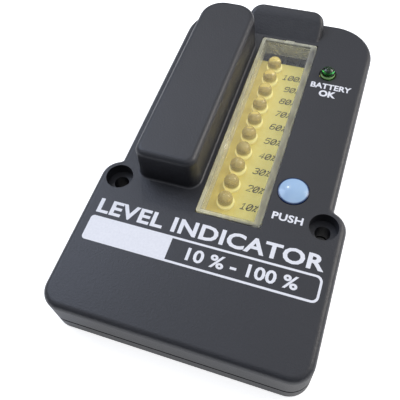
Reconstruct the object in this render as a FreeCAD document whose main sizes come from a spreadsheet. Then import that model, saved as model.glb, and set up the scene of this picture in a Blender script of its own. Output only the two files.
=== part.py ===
"""Tank level indicator with a battery bay, a clear window over ten lamps and a push button.

Frame: millimetres, +Z out of the front face, +Y towards the full end of the scale.
The origin lies on the flat back, midway between the two wall screw holes.
"""

import FreeCAD, Part
import math
import os

import Sketcher

doc = FreeCAD.newDocument("level_indicator")
sheet = doc.addObject("Spreadsheet::Sheet", "sizes")


# Driving dimensions, one cell each

SIZES = (
    # case
    ("case_depth", 16.6, "back face to front face"),
    ("parting_height", 6.0, "back face to the parting line"),
    ("upper_half_width", 34.8, "half width of the narrower upper part"),
    ("top_reach", 86.2, "screw line to the top edge"),
    ("bottom_reach", 46.4, "screw line to the bottom edge"),
    ("lower_corner", 6.5, "radius of the two bottom corners"),
    ("top_corner", 15.0, "radius of the two top corners"),
    ("edge_round", 2.0, "rounding of the front edges"),
    ("back_round", 0.7, "rounding of the back edge"),
    ("seam_round", 0.35, "rounding of both shells along the parting line"),
    ("neck_round", 1.0, "hollow corner between shoulder and upper side"),
    ("side_wall", 2.0, "side wall thickness"),
    ("front_wall", 2.0, "front wall thickness"),
    ("floor_wall", 1.7, "back cover floor thickness"),
    ("rib_wall", 1.2, "ribs inside the cover"),
    ("rib_spacing", 13.0, "distance between the stiffening ribs"),
    ("rib_height", 2.4, "stiffening ribs above the cover floor"),
    ("lip_height", 1.5, "locating lip above the parting line"),
    ("lip_wall", 1.2, "locating lip thickness"),
    ("lip_gap", 0.15, "lip to housing wall"),
    # shoulders with the wall screw holes
    ("hole_inset", 1.8, "hole centres inside the line of the upper sides"),
    ("shoulder_radius", 6.6, "round shoulder about a wall screw hole"),
    ("hole_radius", 2.4, "wall screw hole"),
    ("sink_radius", 4.4, "screw head recess"),
    ("sink_depth", 4.0, "screw head recess"),
    # battery bay
    ("bay_right", 7.2, "right side of the bay, left of the centre line"),
    ("bay_near", 1.9, "near end of the bay, above the screw line"),
    ("bay_far_margin", 11.0, "far end of the bay to the top edge"),
    ("bay_near_corner", 3.7, "near corner radius"),
    ("bay_far_corner", 8.2, "far corner radius"),
    ("bay_wall", 1.3, "bay wall thickness"),
    ("bay_side_gap", 0.4, "battery to the bay's side walls"),
    ("bay_draft", 1.0, "draft of the bay walls in degrees"),
    ("bay_root", 0.8, "hollow rounding at the foot of the bay"),
    # hood over the terminals
    ("hood_left", 12.9, "left side of the hood, left of the centre line"),
    ("hood_right", 15.3, "right side of the hood"),
    ("hood_length", 11.4, "toe of the slope to the top edge"),
    ("hood_flat", 3.0, "crest of the slope to the top edge"),
    ("hood_height", 5.4, "hood above the front face"),
    ("hood_corner", 5.0, "upright corner radius"),
    ("hood_crest_round", 8.0, "rounding between slope and flat"),
    ("hood_round", 1.8, "top edge radius"),
    ("slot_gap", 0.15, "wire slot past the terminal strip on each side"),
    ("slot_above", 3.0, "top of the wire slot above the wire holes"),
    ("slot_corner", 1.0, "top corners of the wire slot"),
    # clear window
    ("window_margin", 1.9, "bay to window"),
    ("window_width", 20.4, "window across"),
    ("window_near", 5.6, "near end of the window, below the screw line"),
    ("window_far_margin", 12.9, "far end of the window to the top edge"),
    ("window_gap", 0.2, "gap round the window"),
    ("window_corner", 1.0, "corner radius of the window"),
    ("window_edge", 0.2, "rounding of the window's front edge"),
    ("window_plate", 1.8, "thickness of the clear face"),
    ("window_wall", 1.3, "thickness of the clear side walls"),
    ("window_lift", 0.95, "side walls above the board"),
    ("window_proud", 0.25, "clear face above the front face"),
    ("flange_width", 0.55, "retaining flange past the clear face"),
    ("flange_height", 0.9, "retaining flange thickness"),
    ("flange_gap", 0.05, "flange to the front wall"),
    ("tab_width", 3.2, "gate tab at the far end of the window"),
    ("tab_reach", 0.5, "gate tab past the clear face"),
    # push button
    ("button_y", 9.7, "button centre above the screw line"),
    ("button_clear", 0.35, "button flange to window flange"),
    ("button_radius", 4.78, "radius of the button"),
    ("button_gap", 0.22, "ring gap round the button"),
    ("button_hold", 0.5, "button flange past the hole"),
    ("button_crown", 1.1, "top of the button above the front face"),
    ("button_rim", 0.2, "rim of the button above the front face"),
    ("button_flange_height", 0.8, "button flange thickness"),
    ("button_play", 0.25, "flange to front wall at rest"),
    ("button_travel", 0.5, "travel when pressed"),
    ("button_socket", 2.15, "depth of the socket for the plunger"),
    # circuit board
    ("board_drop", 8.0, "front face to the component side of the board"),
    ("board_thick", 1.6, "board thickness"),
    ("board_gap", 0.45, "board to the walls beside it"),
    ("board_near_margin", 5.7, "near end of the window to the board edge"),
    ("board_far_margin", 4.6, "board edge to the far end of the window"),
    ("board_corner", 1.5, "board corner radius"),
    # lamps
    ("lamp_offset", 6.5, "left side of the window to the lamps"),
    ("lamp_near_margin", 9.6, "near end of the window to the lowest lamp"),
    ("lamp_far_margin", 7.74, "highest lamp to the far end of the window"),
    ("lamp_radius", 2.5, "level lamp body"),
    ("lamp_flange", 2.9, "level lamp flange"),
    ("lamp_flange_height", 1.0, "level lamp flange"),
    ("lamp_height", 5.2, "level lamp without its leads"),
    ("lamp_lift", 0.1, "level lamp above the board"),
    ("lead_spacing", 2.54, "distance between the leads of a lamp"),
    ("lead_side", 0.5, "side of a square lead"),
    ("lead_reach", 1.6, "lead below the board"),
    ("lead_gap", 0.15, "lead to the side of its hole"),
    ("pilot_margin", 12.8, "battery lamp to the far end of the window"),
    ("pilot_radius", 2.5, "battery lamp body"),
    ("pilot_flange", 2.9, "battery lamp flange"),
    ("pilot_flange_height", 1.0, "battery lamp flange"),
    ("pilot_proud", 3.0, "battery lamp above the front face"),
    ("pilot_lift", 0.9, "battery lamp above the board"),
    ("pilot_gap", 0.5, "battery lamp to the edge of its hole"),
    # push switch under the button
    ("switch_side", 6.0, "side of the switch body"),
    ("switch_height", 3.5, "height of the switch body"),
    ("switch_corner", 0.4, "corner radius of the switch body"),
    ("switch_floor", 0.3, "pressed plunger to the bottom of its bore"),
    ("plunger_radius", 1.75, "switch plunger"),
    ("plunger_sunk", 1.0, "plunger inside the switch body at rest"),
    ("slide_gap", 0.05, "plunger running clearance"),
    # battery
    ("cell_width", 17.0, "battery across its narrow side"),
    ("cell_length", 46.4, "battery without its terminals"),
    ("cell_height", 26.2, "battery across its wide side"),
    ("cell_corner", 1.6, "battery corner radius"),
    ("cell_recess", 0.3, "recess in the cover floor under the battery"),
    ("cell_lift", 0.15, "battery above its recess"),
    ("cell_top_gap", 0.15, "battery to the bay's front wall"),
    ("cell_near_gap", 1.4, "battery to the bay's near wall"),
    ("cell_rib_gap", 0.3, "battery to the ribs beside it"),
    ("cell_rib_margin", 5.0, "ribs shorter than the battery at each end"),
    ("stud_spacing", 12.7, "distance between the battery terminals"),
    ("stud_radius", 2.85, "small terminal"),
    ("socket_radius", 3.7, "large terminal"),
    ("stud_height", 2.1, "terminals above the battery end"),
    ("snap_width", 13.0, "connector across"),
    ("snap_height", 24.8, "connector along the terminals"),
    ("snap_corner", 5.9, "connector corner radius"),
    ("snap_thick", 4.2, "connector thickness"),
    ("snap_gap", 0.1, "connector to battery end"),
    ("wire_radius", 0.6, "battery lead and terminal link"),
    ("wire_spread", 2.0, "each battery lead off the bay's middle"),
    # terminal strip
    ("strip_spacing", 5.08, "distance between terminals"),
    ("strip_count", 4, "number of terminals"),
    ("strip_set", 3.6, "terminal strip to the top edge"),
    ("strip_depth", 7.6, "terminal strip along the case"),
    ("strip_top_depth", 4.0, "screw side of the strip"),
    ("strip_height", 10.8, "terminal strip overall"),
    ("strip_drop", 1.6, "front face to the top of the strip"),
    ("strip_slope_drop", 3.8, "top of the strip to its low side"),
    ("strip_foot", 2.0, "cradle under each end of the strip"),
    ("wire_hole", 1.6, "radius of a wire hole"),
    ("wire_drop", 6.2, "top of the strip to the wire holes"),
    ("wire_end_wall", 1.5, "wall behind a wire hole"),
    ("clamp_radius", 1.5, "terminal screw head"),
    ("clamp_sunk", 0.3, "terminal screw below the top of the strip"),
    ("clamp_head_height", 1.2, "terminal screw head"),
    ("clamp_shank", 1.05, "terminal screw shank"),
    ("clamp_length", 2.0, "terminal screw under its head"),
    ("link_reach", 4.0, "terminal link under the board"),
    # driver chip
    ("chip_offset", 26.7, "button centre to chip centre"),
    ("chip_width", 6.4, "chip body"),
    ("chip_length", 22.8, "chip body"),
    ("chip_height", 3.3, "chip body"),
    ("chip_lift", 0.5, "chip body above the board"),
    ("chip_notch", 0.8, "radius of the notch in the chip's far end"),
    ("chip_notch_depth", 0.5, "notch in the chip's far end"),
    ("pin_spacing", 2.54, "distance between pins"),
    ("pin_row", 7.62, "distance between the two rows of pins"),
    ("pin_count", 9, "pins in a row"),
    ("pin_thick", 0.3, "pin sheet thickness"),
    # small parts on the board
    ("trimmer_gap", 0.8, "window to trimmer"),
    ("trimmer_offset", 16.3, "trimmer centre below the button centre"),
    ("trimmer_side", 6.0, "trimmer body"),
    ("trimmer_height", 4.0, "trimmer body"),
    ("trimmer_corner", 0.5, "trimmer corner radius"),
    ("rotor_radius", 2.2, "trimmer rotor"),
    ("rotor_proud", 0.4, "trimmer rotor above its body"),
    ("capacitor_offset", 8.3, "capacitor centre below the button centre"),
    ("capacitor_radius", 2.5, "capacitor can"),
    ("capacitor_height", 5.2, "capacitor can"),
    ("capacitor_bevel", 0.4, "bevel of the can's top edge"),
    ("resistor_offset", 5.9, "button centre to the first resistor"),
    ("resistor_spacing", 2.54, "distance between resistors"),
    ("resistor_count", 4, "number of resistors"),
    ("resistor_radius", 1.1, "resistor body"),
    ("resistor_length", 6.3, "resistor body"),
    ("resistor_span", 10.16, "distance between the leads of a resistor"),
    # screws
    ("boss_radius", 2.9, "boss for a cover screw"),
    ("cover_inset", 7.0, "lower cover screws to the sides and bottom edge"),
    ("top_screw_inset", 12.9, "upper cover screws to the upper sides"),
    ("top_screw_drop", 7.5, "upper cover screws to the top edge"),
    ("screw_radius", 1.3, "cover screw shank"),
    ("screw_length", 9.5, "cover screw under its head"),
    ("screw_head", 2.6, "cover screw head radius"),
    ("screw_head_height", 1.6, "cover screw head"),
    ("screw_sunk", 0.3, "cover screw head below the back face"),
    ("screw_gap", 0.25, "clearance round a screw"),
    ("screw_end_gap", 0.4, "screw hole past the end of the screw"),
    ("post_radius", 2.2, "post that the board is screwed to"),
    ("post_inset", 3.0, "posts to the sides of the board"),
    ("post_near_edge", 2.4, "near posts to the board edge"),
    ("post_far_edge", 3.7, "far post to the board edge"),
    ("board_screw_radius", 1.0, "board screw shank"),
    ("board_screw_length", 6.0, "board screw under its head"),
    ("board_screw_head", 1.9, "board screw head radius"),
    ("board_screw_head_height", 1.3, "board screw head"),
    ("slot_width", 0.6, "width of a screwdriver slot"),
    ("slot_depth", 0.5, "depth of a screwdriver slot"),
)

for row, (alias, value, meaning) in enumerate(SIZES, start=1):
    sheet.set(f"A{row}", meaning)
    sheet.set(f"B{row}", str(value))
    sheet.setAlias(f"B{row}", alias)
doc.recompute()


def named(text):
    """Write a formula of size names as an expression on the sheet."""
    words = []
    word = ""
    for mark in text + " ":
        if mark.isalnum() or mark in "_.":
            word += mark
            continue
        if word:
            words.append(f"sizes.{word}" if word[0].isalpha() else word)
            word = ""
        words.append(mark)
    return "".join(words).strip()


def value_of(text):
    """Work out a formula of size names."""
    return float(sheet.evalExpression(named(text)))


def bind(item, prop, text):
    item.setExpression(prop, named(text))


# Places and sizes that follow from the driving dimensions

LAMP_COUNT = 10

HOLE_X = "(upper_half_width - hole_inset)"
LOWER_HALF_WIDTH = f"({HOLE_X} + shoulder_radius)"
LIP_OUTER = "(side_wall + lip_gap)"
LIP_INNER = "(side_wall + lip_gap + lip_wall)"

BAY_CENTRE = "(-bay_right - bay_wall - bay_side_gap - cell_width / 2)"
BAY_LEFT = "(bay_right + 2 * bay_wall + 2 * bay_side_gap + cell_width)"
BAY_FAR = "(top_reach - bay_far_margin)"
CELL_Z = "(floor_wall - cell_recess + cell_lift)"
CELL_MIDDLE_Z = f"({CELL_Z} + cell_height / 2)"
CELL_NEAR = "(bay_near + bay_wall + cell_near_gap)"
CELL_FAR = f"({CELL_NEAR} + cell_length)"
BAY_TOP = f"({CELL_Z} + cell_height + cell_top_gap + bay_wall)"

WINDOW_LEFT = "(bay_right - window_margin)"
WINDOW_RIGHT = f"(window_width - {WINDOW_LEFT})"
WINDOW_MIDDLE = f"(({WINDOW_RIGHT} - {WINDOW_LEFT}) / 2)"
WINDOW_FAR = "(top_reach - window_far_margin)"

BUTTON_HOLE = "(button_radius + button_gap)"
BUTTON_FLANGE = f"({BUTTON_HOLE} + button_hold)"
BUTTON_X = f"({WINDOW_RIGHT} + flange_width + button_clear + {BUTTON_FLANGE})"
BUTTON_WALL = "(case_depth - front_wall - button_play)"
BUTTON_FOOT = f"({BUTTON_WALL} - button_flange_height)"
PLUNGER_TOP = f"({BUTTON_FOOT} + button_socket)"

BOARD_TOP = "(case_depth - board_drop)"
BOARD_UNDER = f"({BOARD_TOP} - board_thick)"
BOARD_LEFT = "(bay_right - board_gap)"
BOARD_RIGHT = f"(upper_half_width - {LIP_INNER} - board_gap)"
BOARD_NEAR = "(window_near + board_near_margin)"
BOARD_FAR = f"({WINDOW_FAR} - board_far_margin)"
LEAD_END = f"({BOARD_UNDER} - lead_reach)"
ROW_CENTRE = f"(({WINDOW_RIGHT} + {BOARD_RIGHT}) / 2)"

LAMP_X = f"(lamp_offset - {WINDOW_LEFT})"
LAMP_FIRST = "(lamp_near_margin - window_near)"
LAMP_STEP = f"(({WINDOW_FAR} - lamp_far_margin - {LAMP_FIRST}) / {LAMP_COUNT - 1})"
PILOT_Y = f"({WINDOW_FAR} - pilot_margin)"
PLUNGER_FOOT = f"({BOARD_TOP} + switch_height - plunger_sunk)"

HOOD_MIDDLE = "((hood_right - hood_left) / 2)"
HOOD_START = "(top_reach - hood_length)"
HOOD_CREST = "(top_reach - hood_flat)"
HOOD_TOP = "(case_depth + hood_height)"
STRIP_HALF = "(strip_spacing * strip_count / 2)"
STRIP_LEFT = f"({HOOD_MIDDLE} - {STRIP_HALF})"
STRIP_RIGHT = f"({HOOD_MIDDLE} + {STRIP_HALF})"
STRIP_FAR = "(top_reach - strip_set)"
STRIP_NEAR = f"({STRIP_FAR} - strip_depth)"
STRIP_TOP = "(case_depth - strip_drop)"
STRIP_SEAT = f"({STRIP_TOP} - strip_height)"
WIRE_Z = f"({STRIP_TOP} - wire_drop)"
CLAMP_Y = f"({STRIP_FAR} - strip_top_depth / 2)"

CHIP_Y = "(button_y + chip_offset)"
CHIP_FIRST_PIN = f"({CHIP_Y} - pin_spacing * (pin_count - 1) / 2)"
RESISTOR_Y = "(button_y + resistor_offset)"
TRIMMER_X = f"({WINDOW_RIGHT} + trimmer_gap + trimmer_side / 2)"

WALL_HOLES = ((f"-{HOLE_X}", "0"), (HOLE_X, "0"))
LOWER_SCREW_X = f"({LOWER_HALF_WIDTH} - cover_inset)"
LOWER_SCREW_Y = "-(bottom_reach - cover_inset)"
TOP_SCREW_X = "(upper_half_width - top_screw_inset)"
TOP_SCREW_Y = "(top_reach - top_screw_drop)"
COVER_SCREWS = (
    (f"-{LOWER_SCREW_X}", LOWER_SCREW_Y),
    (LOWER_SCREW_X, LOWER_SCREW_Y),
    (f"-{TOP_SCREW_X}", TOP_SCREW_Y),
    (TOP_SCREW_X, TOP_SCREW_Y),
)
BOARD_SCREWS = (
    (f"post_inset - {BOARD_LEFT}", f"post_near_edge - {BOARD_NEAR}"),
    (f"{BOARD_RIGHT} - post_inset", f"post_near_edge - {BOARD_NEAR}"),
    (f"{BOARD_RIGHT} - post_inset", f"{BOARD_FAR} - post_far_edge"),
)


# Sketches

def start_body(name):
    body = doc.addObject("PartDesign::Body", name)
    body.Label = name
    return body


def origin_item(body, role):
    return next(item for item in body.Origin.OriginFeatures if item.Role == role)


def start_sketch(body, name, lift="0", plane="XY_Plane"):
    """Start a sketch on a plane of the body, moved along the plane's normal.

    The normal of the XZ plane points to -Y.
    """
    sketch = body.newObject("Sketcher::SketchObject", name)
    sketch.AttachmentSupport = [(origin_item(body, plane), "")]
    sketch.MapMode = "FlatFace"
    bind(sketch, "AttachmentOffset.Base.z", lift)
    sketch.Visibility = False
    return sketch


def place_point(sketch, geometry, point, x_text=None, y_text=None):
    """Hold one point of a sketch at named distances from the sketch's origin."""
    for kind, text in (("DistanceX", x_text), ("DistanceY", y_text)):
        if text is not None:
            rule = Sketcher.Constraint(kind, -1, 1, geometry, point, value_of(text))
            index = sketch.addConstraint(rule)
            bind(sketch, f"Constraints[{index}]", text)


def add_circle(sketch, x_text, y_text, radius_text):
    centre = FreeCAD.Vector(value_of(x_text), value_of(y_text), 0)
    circle = Part.Circle(centre, FreeCAD.Vector(0, 0, 1), value_of(radius_text))
    geometry = sketch.addGeometry(circle, False)
    place_point(sketch, geometry, 3, x_text, y_text)
    index = sketch.addConstraint(Sketcher.Constraint("Radius", geometry, value_of(radius_text)))
    bind(sketch, f"Constraints[{index}]", radius_text)


def add_outline(sketch, corners):
    """Draw a closed outline of level and upright lines.

    Each corner is (x, y, radius), anticlockwise, with None for a sharp corner.
    """
    count = len(corners)
    spots = [FreeCAD.Vector(value_of(x), value_of(y), 0) for x, y, radius in corners]
    bends = []
    for index, (x, y, radius) in enumerate(corners):
        spot = spots[index]
        if radius is None:
            bends.append((spot, spot, None))
            continue
        back = (spots[index - 1] - spot).normalize()
        ahead = (spots[(index + 1) % count] - spot).normalize()
        size = value_of(radius)
        centre = spot + (back + ahead) * size
        first = spot + back * size
        last = spot + ahead * size
        middle = centre - (back + ahead).normalize() * size
        bends.append((first, last, Part.Arc(first, middle, last)))

    lines = []
    arcs = []
    for index, (first, last, arc) in enumerate(bends):
        following = bends[(index + 1) % count][0]
        arcs.append(None if arc is None else sketch.addGeometry(arc, False))
        lines.append(sketch.addGeometry(Part.LineSegment(last, following), False))

    for index, (x, y, radius) in enumerate(corners):
        line_in = lines[index - 1]
        line_out = lines[index]
        step = spots[(index + 1) % count] - spots[index]
        if abs(step.x) < abs(step.y):
            sketch.addConstraint(Sketcher.Constraint("Vertical", line_out))
            place_point(sketch, line_out, 1, x_text=x)
        else:
            sketch.addConstraint(Sketcher.Constraint("Horizontal", line_out))
            place_point(sketch, line_out, 1, y_text=y)
        if radius is None:
            sketch.addConstraint(Sketcher.Constraint("Coincident", line_in, 2, line_out, 1))
            continue
        arc = arcs[index]
        turned = sketch.Geometry[arc].StartPoint.distanceToPoint(bends[index][0]) > 1e-6
        ends = (2, 1) if turned else (1, 2)
        sketch.addConstraint(Sketcher.Constraint("Tangent", line_in, 2, arc, ends[0]))
        sketch.addConstraint(Sketcher.Constraint("Tangent", line_out, 1, arc, ends[1]))
        rule = sketch.addConstraint(Sketcher.Constraint("Radius", arc, value_of(radius)))
        bind(sketch, f"Constraints[{rule}]", radius)


def box_corners(left, right, near, far, near_radius=None, far_radius=None):
    return (
        (left, near, near_radius),
        (right, near, near_radius),
        (right, far, far_radius),
        (left, far, far_radius),
    )


def square_corners(x, y, side):
    return box_corners(
        f"{x} - {side} / 2", f"{x} + {side} / 2", f"{y} - {side} / 2", f"{y} + {side} / 2")


def add_chain(sketch, points):
    """Draw joined lines through named points and return them."""
    spots = [FreeCAD.Vector(value_of(x), value_of(y), 0) for x, y in points]
    lines = [
        sketch.addGeometry(Part.LineSegment(first, last), False)
        for first, last in zip(spots, spots[1:])
    ]
    for before, after in zip(lines, lines[1:]):
        sketch.addConstraint(Sketcher.Constraint("Coincident", before, 2, after, 1))
    for line, (x, y) in zip(lines, points):
        place_point(sketch, line, 1, x, y)
    return lines


def add_polygon(sketch, points):
    """Draw a closed outline of straight lines through named points."""
    lines = add_chain(sketch, points + points[:1])
    sketch.addConstraint(Sketcher.Constraint("Coincident", lines[-1], 2, lines[0], 1))


def discs(body, name, lift, places, radius, plane="XY_Plane"):
    """Sketch one circle at each named place."""
    sketch = start_sketch(body, name, lift, plane)
    for x, y in places:
        add_circle(sketch, x, y, radius)
    return sketch


# Features

def pad(body, sketch, length, name, against_normal=False, draft=None, both_ways=False):
    feature = body.newObject("PartDesign::Pad", name)
    feature.Profile = sketch
    bind(feature, "Length", length)
    feature.Reversed = against_normal
    feature.Midplane = both_ways
    if draft is not None:
        bind(feature, "TaperAngle", draft)
    return feature


def cut(body, sketch, depth, name, along_normal=True, draft=None, both_ways=False):
    feature = body.newObject("PartDesign::Pocket", name)
    feature.Profile = sketch
    bind(feature, "Length", depth)
    feature.Reversed = along_normal
    feature.Midplane = both_ways
    if draft is not None:
        bind(feature, "TaperAngle", draft)
    return feature


def round_edges(body, base, wanted, radius, name):
    """Round each edge of the feature that the test accepts."""
    doc.recompute()
    chosen = [
        f"Edge{number}"
        for number, edge in enumerate(base.Shape.Edges, start=1)
        if wanted(edge)
    ]
    if not chosen:
        raise ValueError(f"{name}: no edge found")
    feature = body.newObject("PartDesign::Fillet", name)
    feature.Base = (base, chosen)
    bind(feature, "Radius", radius)
    body.Tip = feature
    return feature


def repeat(body, features, name, length, count):
    """Repeat features along +Y over the named length."""
    doc.recompute()
    row = body.newObject("PartDesign::LinearPattern", name)
    row.Originals = features
    row.Direction = (origin_item(body, "Y_Axis"), [""])
    bind(row, "Length", length)
    bind(row, "Occurrences", count)
    body.Tip = row
    return row


def turn(body, name, sketch):
    """Turn a half profile about its upright axis."""
    feature = body.newObject("PartDesign::Revolution", f"{name}_turned")
    feature.Profile = sketch
    feature.ReferenceAxis = (sketch, ["V_Axis"])
    feature.Angle = 360
    return feature


def turn_crowned(body, name, points):
    """Turn a half profile about Z and close it with a round crown.

    The points run from the top of the crown down the axis and round to its rim.
    """
    sketch = start_sketch(body, f"{name}_profile", "0", "XZ_Plane")
    lines = add_chain(sketch, points)
    place_point(sketch, lines[-1], 2, *points[-1])
    top = FreeCAD.Vector(0, value_of(points[0][1]), 0)
    rim = FreeCAD.Vector(value_of(points[-1][0]), value_of(points[-1][1]), 0)
    rise = top.y - rim.y
    sphere = (rim.x ** 2 + rise ** 2) / (2 * rise)
    half_turn = math.acos((sphere - rise) / sphere) / 2
    middle = FreeCAD.Vector(
        sphere * math.sin(half_turn), top.y - sphere * (1 - math.cos(half_turn)), 0)
    arc = sketch.addGeometry(Part.Arc(rim, middle, top), False)
    turned = sketch.Geometry[arc].StartPoint.distanceToPoint(rim) > 1e-6
    ends = (2, 1) if turned else (1, 2)
    sketch.addConstraint(Sketcher.Constraint("Coincident", arc, ends[0], lines[-1], 2))
    sketch.addConstraint(Sketcher.Constraint("Coincident", arc, ends[1], lines[0], 1))
    place_point(sketch, arc, 3, x_text="0")
    return turn(body, name, sketch)


def is_level(edge, height):
    box = edge.BoundBox
    return abs(box.ZMin - height) < 0.01 and abs(box.ZMax - height) < 0.01


def is_standing(edge):
    box = edge.BoundBox
    return box.ZLength > 0.5 and box.XLength < 0.6 and box.YLength < 0.6


def stand_at(item, x, y):
    bind(item, "Placement.Base.x", x)
    bind(item, "Placement.Base.y", y)
    return item


# Case halves: one bottle shaped outline with a round shoulder at each wall screw

def case_block(body, prefix, lift, height):
    lower = start_sketch(body, f"{prefix}_lower_outline", lift)
    add_outline(lower, box_corners(
        f"-{LOWER_HALF_WIDTH}", LOWER_HALF_WIDTH, "-bottom_reach", "0", "lower_corner"))
    pad(body, lower, height, f"{prefix}_lower")
    shoulders = discs(body, f"{prefix}_shoulder_outline", lift, WALL_HOLES, "shoulder_radius")
    pad(body, shoulders, height, f"{prefix}_shoulders")
    upper = start_sketch(body, f"{prefix}_upper_outline", lift)
    add_outline(upper, box_corners(
        "-upper_half_width", "upper_half_width", "0", "top_reach", None, "top_corner"))
    block = pad(body, upper, height, f"{prefix}_upper")
    neck_x = value_of("upper_half_width")
    neck_y = math.sqrt(value_of("shoulder_radius") ** 2 - value_of("hole_inset") ** 2)

    def is_neck(edge):
        middle = edge.CenterOfMass
        beside = abs(abs(middle.x) - neck_x) < 0.05
        return is_standing(edge) and beside and abs(middle.y - neck_y) < 0.05

    return round_edges(body, block, is_neck, "neck_round", f"{prefix}_neck_rounding")


def case_outlines(body, prefix, lift, inset, lower_end, upper_start):
    """Sketch the lower and upper outlines of the case, moved inwards."""
    lower = start_sketch(body, f"{prefix}_lower", lift)
    add_outline(lower, box_corners(
        f"-({LOWER_HALF_WIDTH} - {inset})", f"{LOWER_HALF_WIDTH} - {inset}",
        f"-(bottom_reach - {inset})", lower_end, f"lower_corner - {inset}"))
    upper = start_sketch(body, f"{prefix}_upper", lift)
    add_outline(upper, box_corners(
        f"-(upper_half_width - {inset})", f"upper_half_width - {inset}",
        upper_start, f"top_reach - {inset}", None, f"top_corner - {inset}"))
    return lower, upper


# Front housing: moulded shell with bay, hood, window opening and bosses

def bay_corners(inset):
    return box_corners(
        f"-({BAY_LEFT} - {inset})", f"-(bay_right + {inset})",
        f"bay_near + {inset}", f"{BAY_FAR} - {inset}",
        f"bay_near_corner - {inset}", f"bay_far_corner - {inset}")


def hood_form():
    """Build the rounded wedge of the hood, which reaches down into the front wall."""
    body = start_body("hood_form")
    profile = start_sketch(body, "hood_profile", HOOD_MIDDLE, "YZ_Plane")
    base = "(case_depth - 2 * front_wall)"
    slope = "((hood_length - hood_flat) / hood_height)"
    add_polygon(profile, (
        (f"{HOOD_START} - 2 * front_wall * {slope}", base),
        ("top_reach", base),
        ("top_reach", HOOD_TOP),
        (HOOD_CREST, HOOD_TOP),
    ))
    wedge = pad(body, profile, "hood_left + hood_right", "hood_block", both_ways=True)
    crest = value_of(HOOD_TOP)
    front = value_of("case_depth")
    far = value_of("top_reach")
    wide = value_of("0.8 * (hood_left + hood_right)")

    def is_crest(edge):
        box = edge.BoundBox
        return is_level(edge, crest) and box.XLength > wide and box.YMax < far - 0.01

    def is_end_corner(edge):
        box = edge.BoundBox
        return box.YMin > far - 0.01 and box.XLength < 0.01

    def is_top_edge(edge):
        box = edge.BoundBox
        standing = box.XLength < 0.01 and box.YLength < 0.01
        at_end = is_level(edge, crest) and box.YMin > far - 0.01
        return box.ZMax > front and not standing and (box.XLength < wide or at_end)

    eased = round_edges(body, wedge, is_crest, "hood_crest_round", "hood_crest_rounding")
    ended = round_edges(body, eased, is_end_corner, "hood_corner", "hood_corner_rounding")
    round_edges(body, ended, is_top_edge, "hood_round", "hood_top_rounding")
    return body


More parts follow.
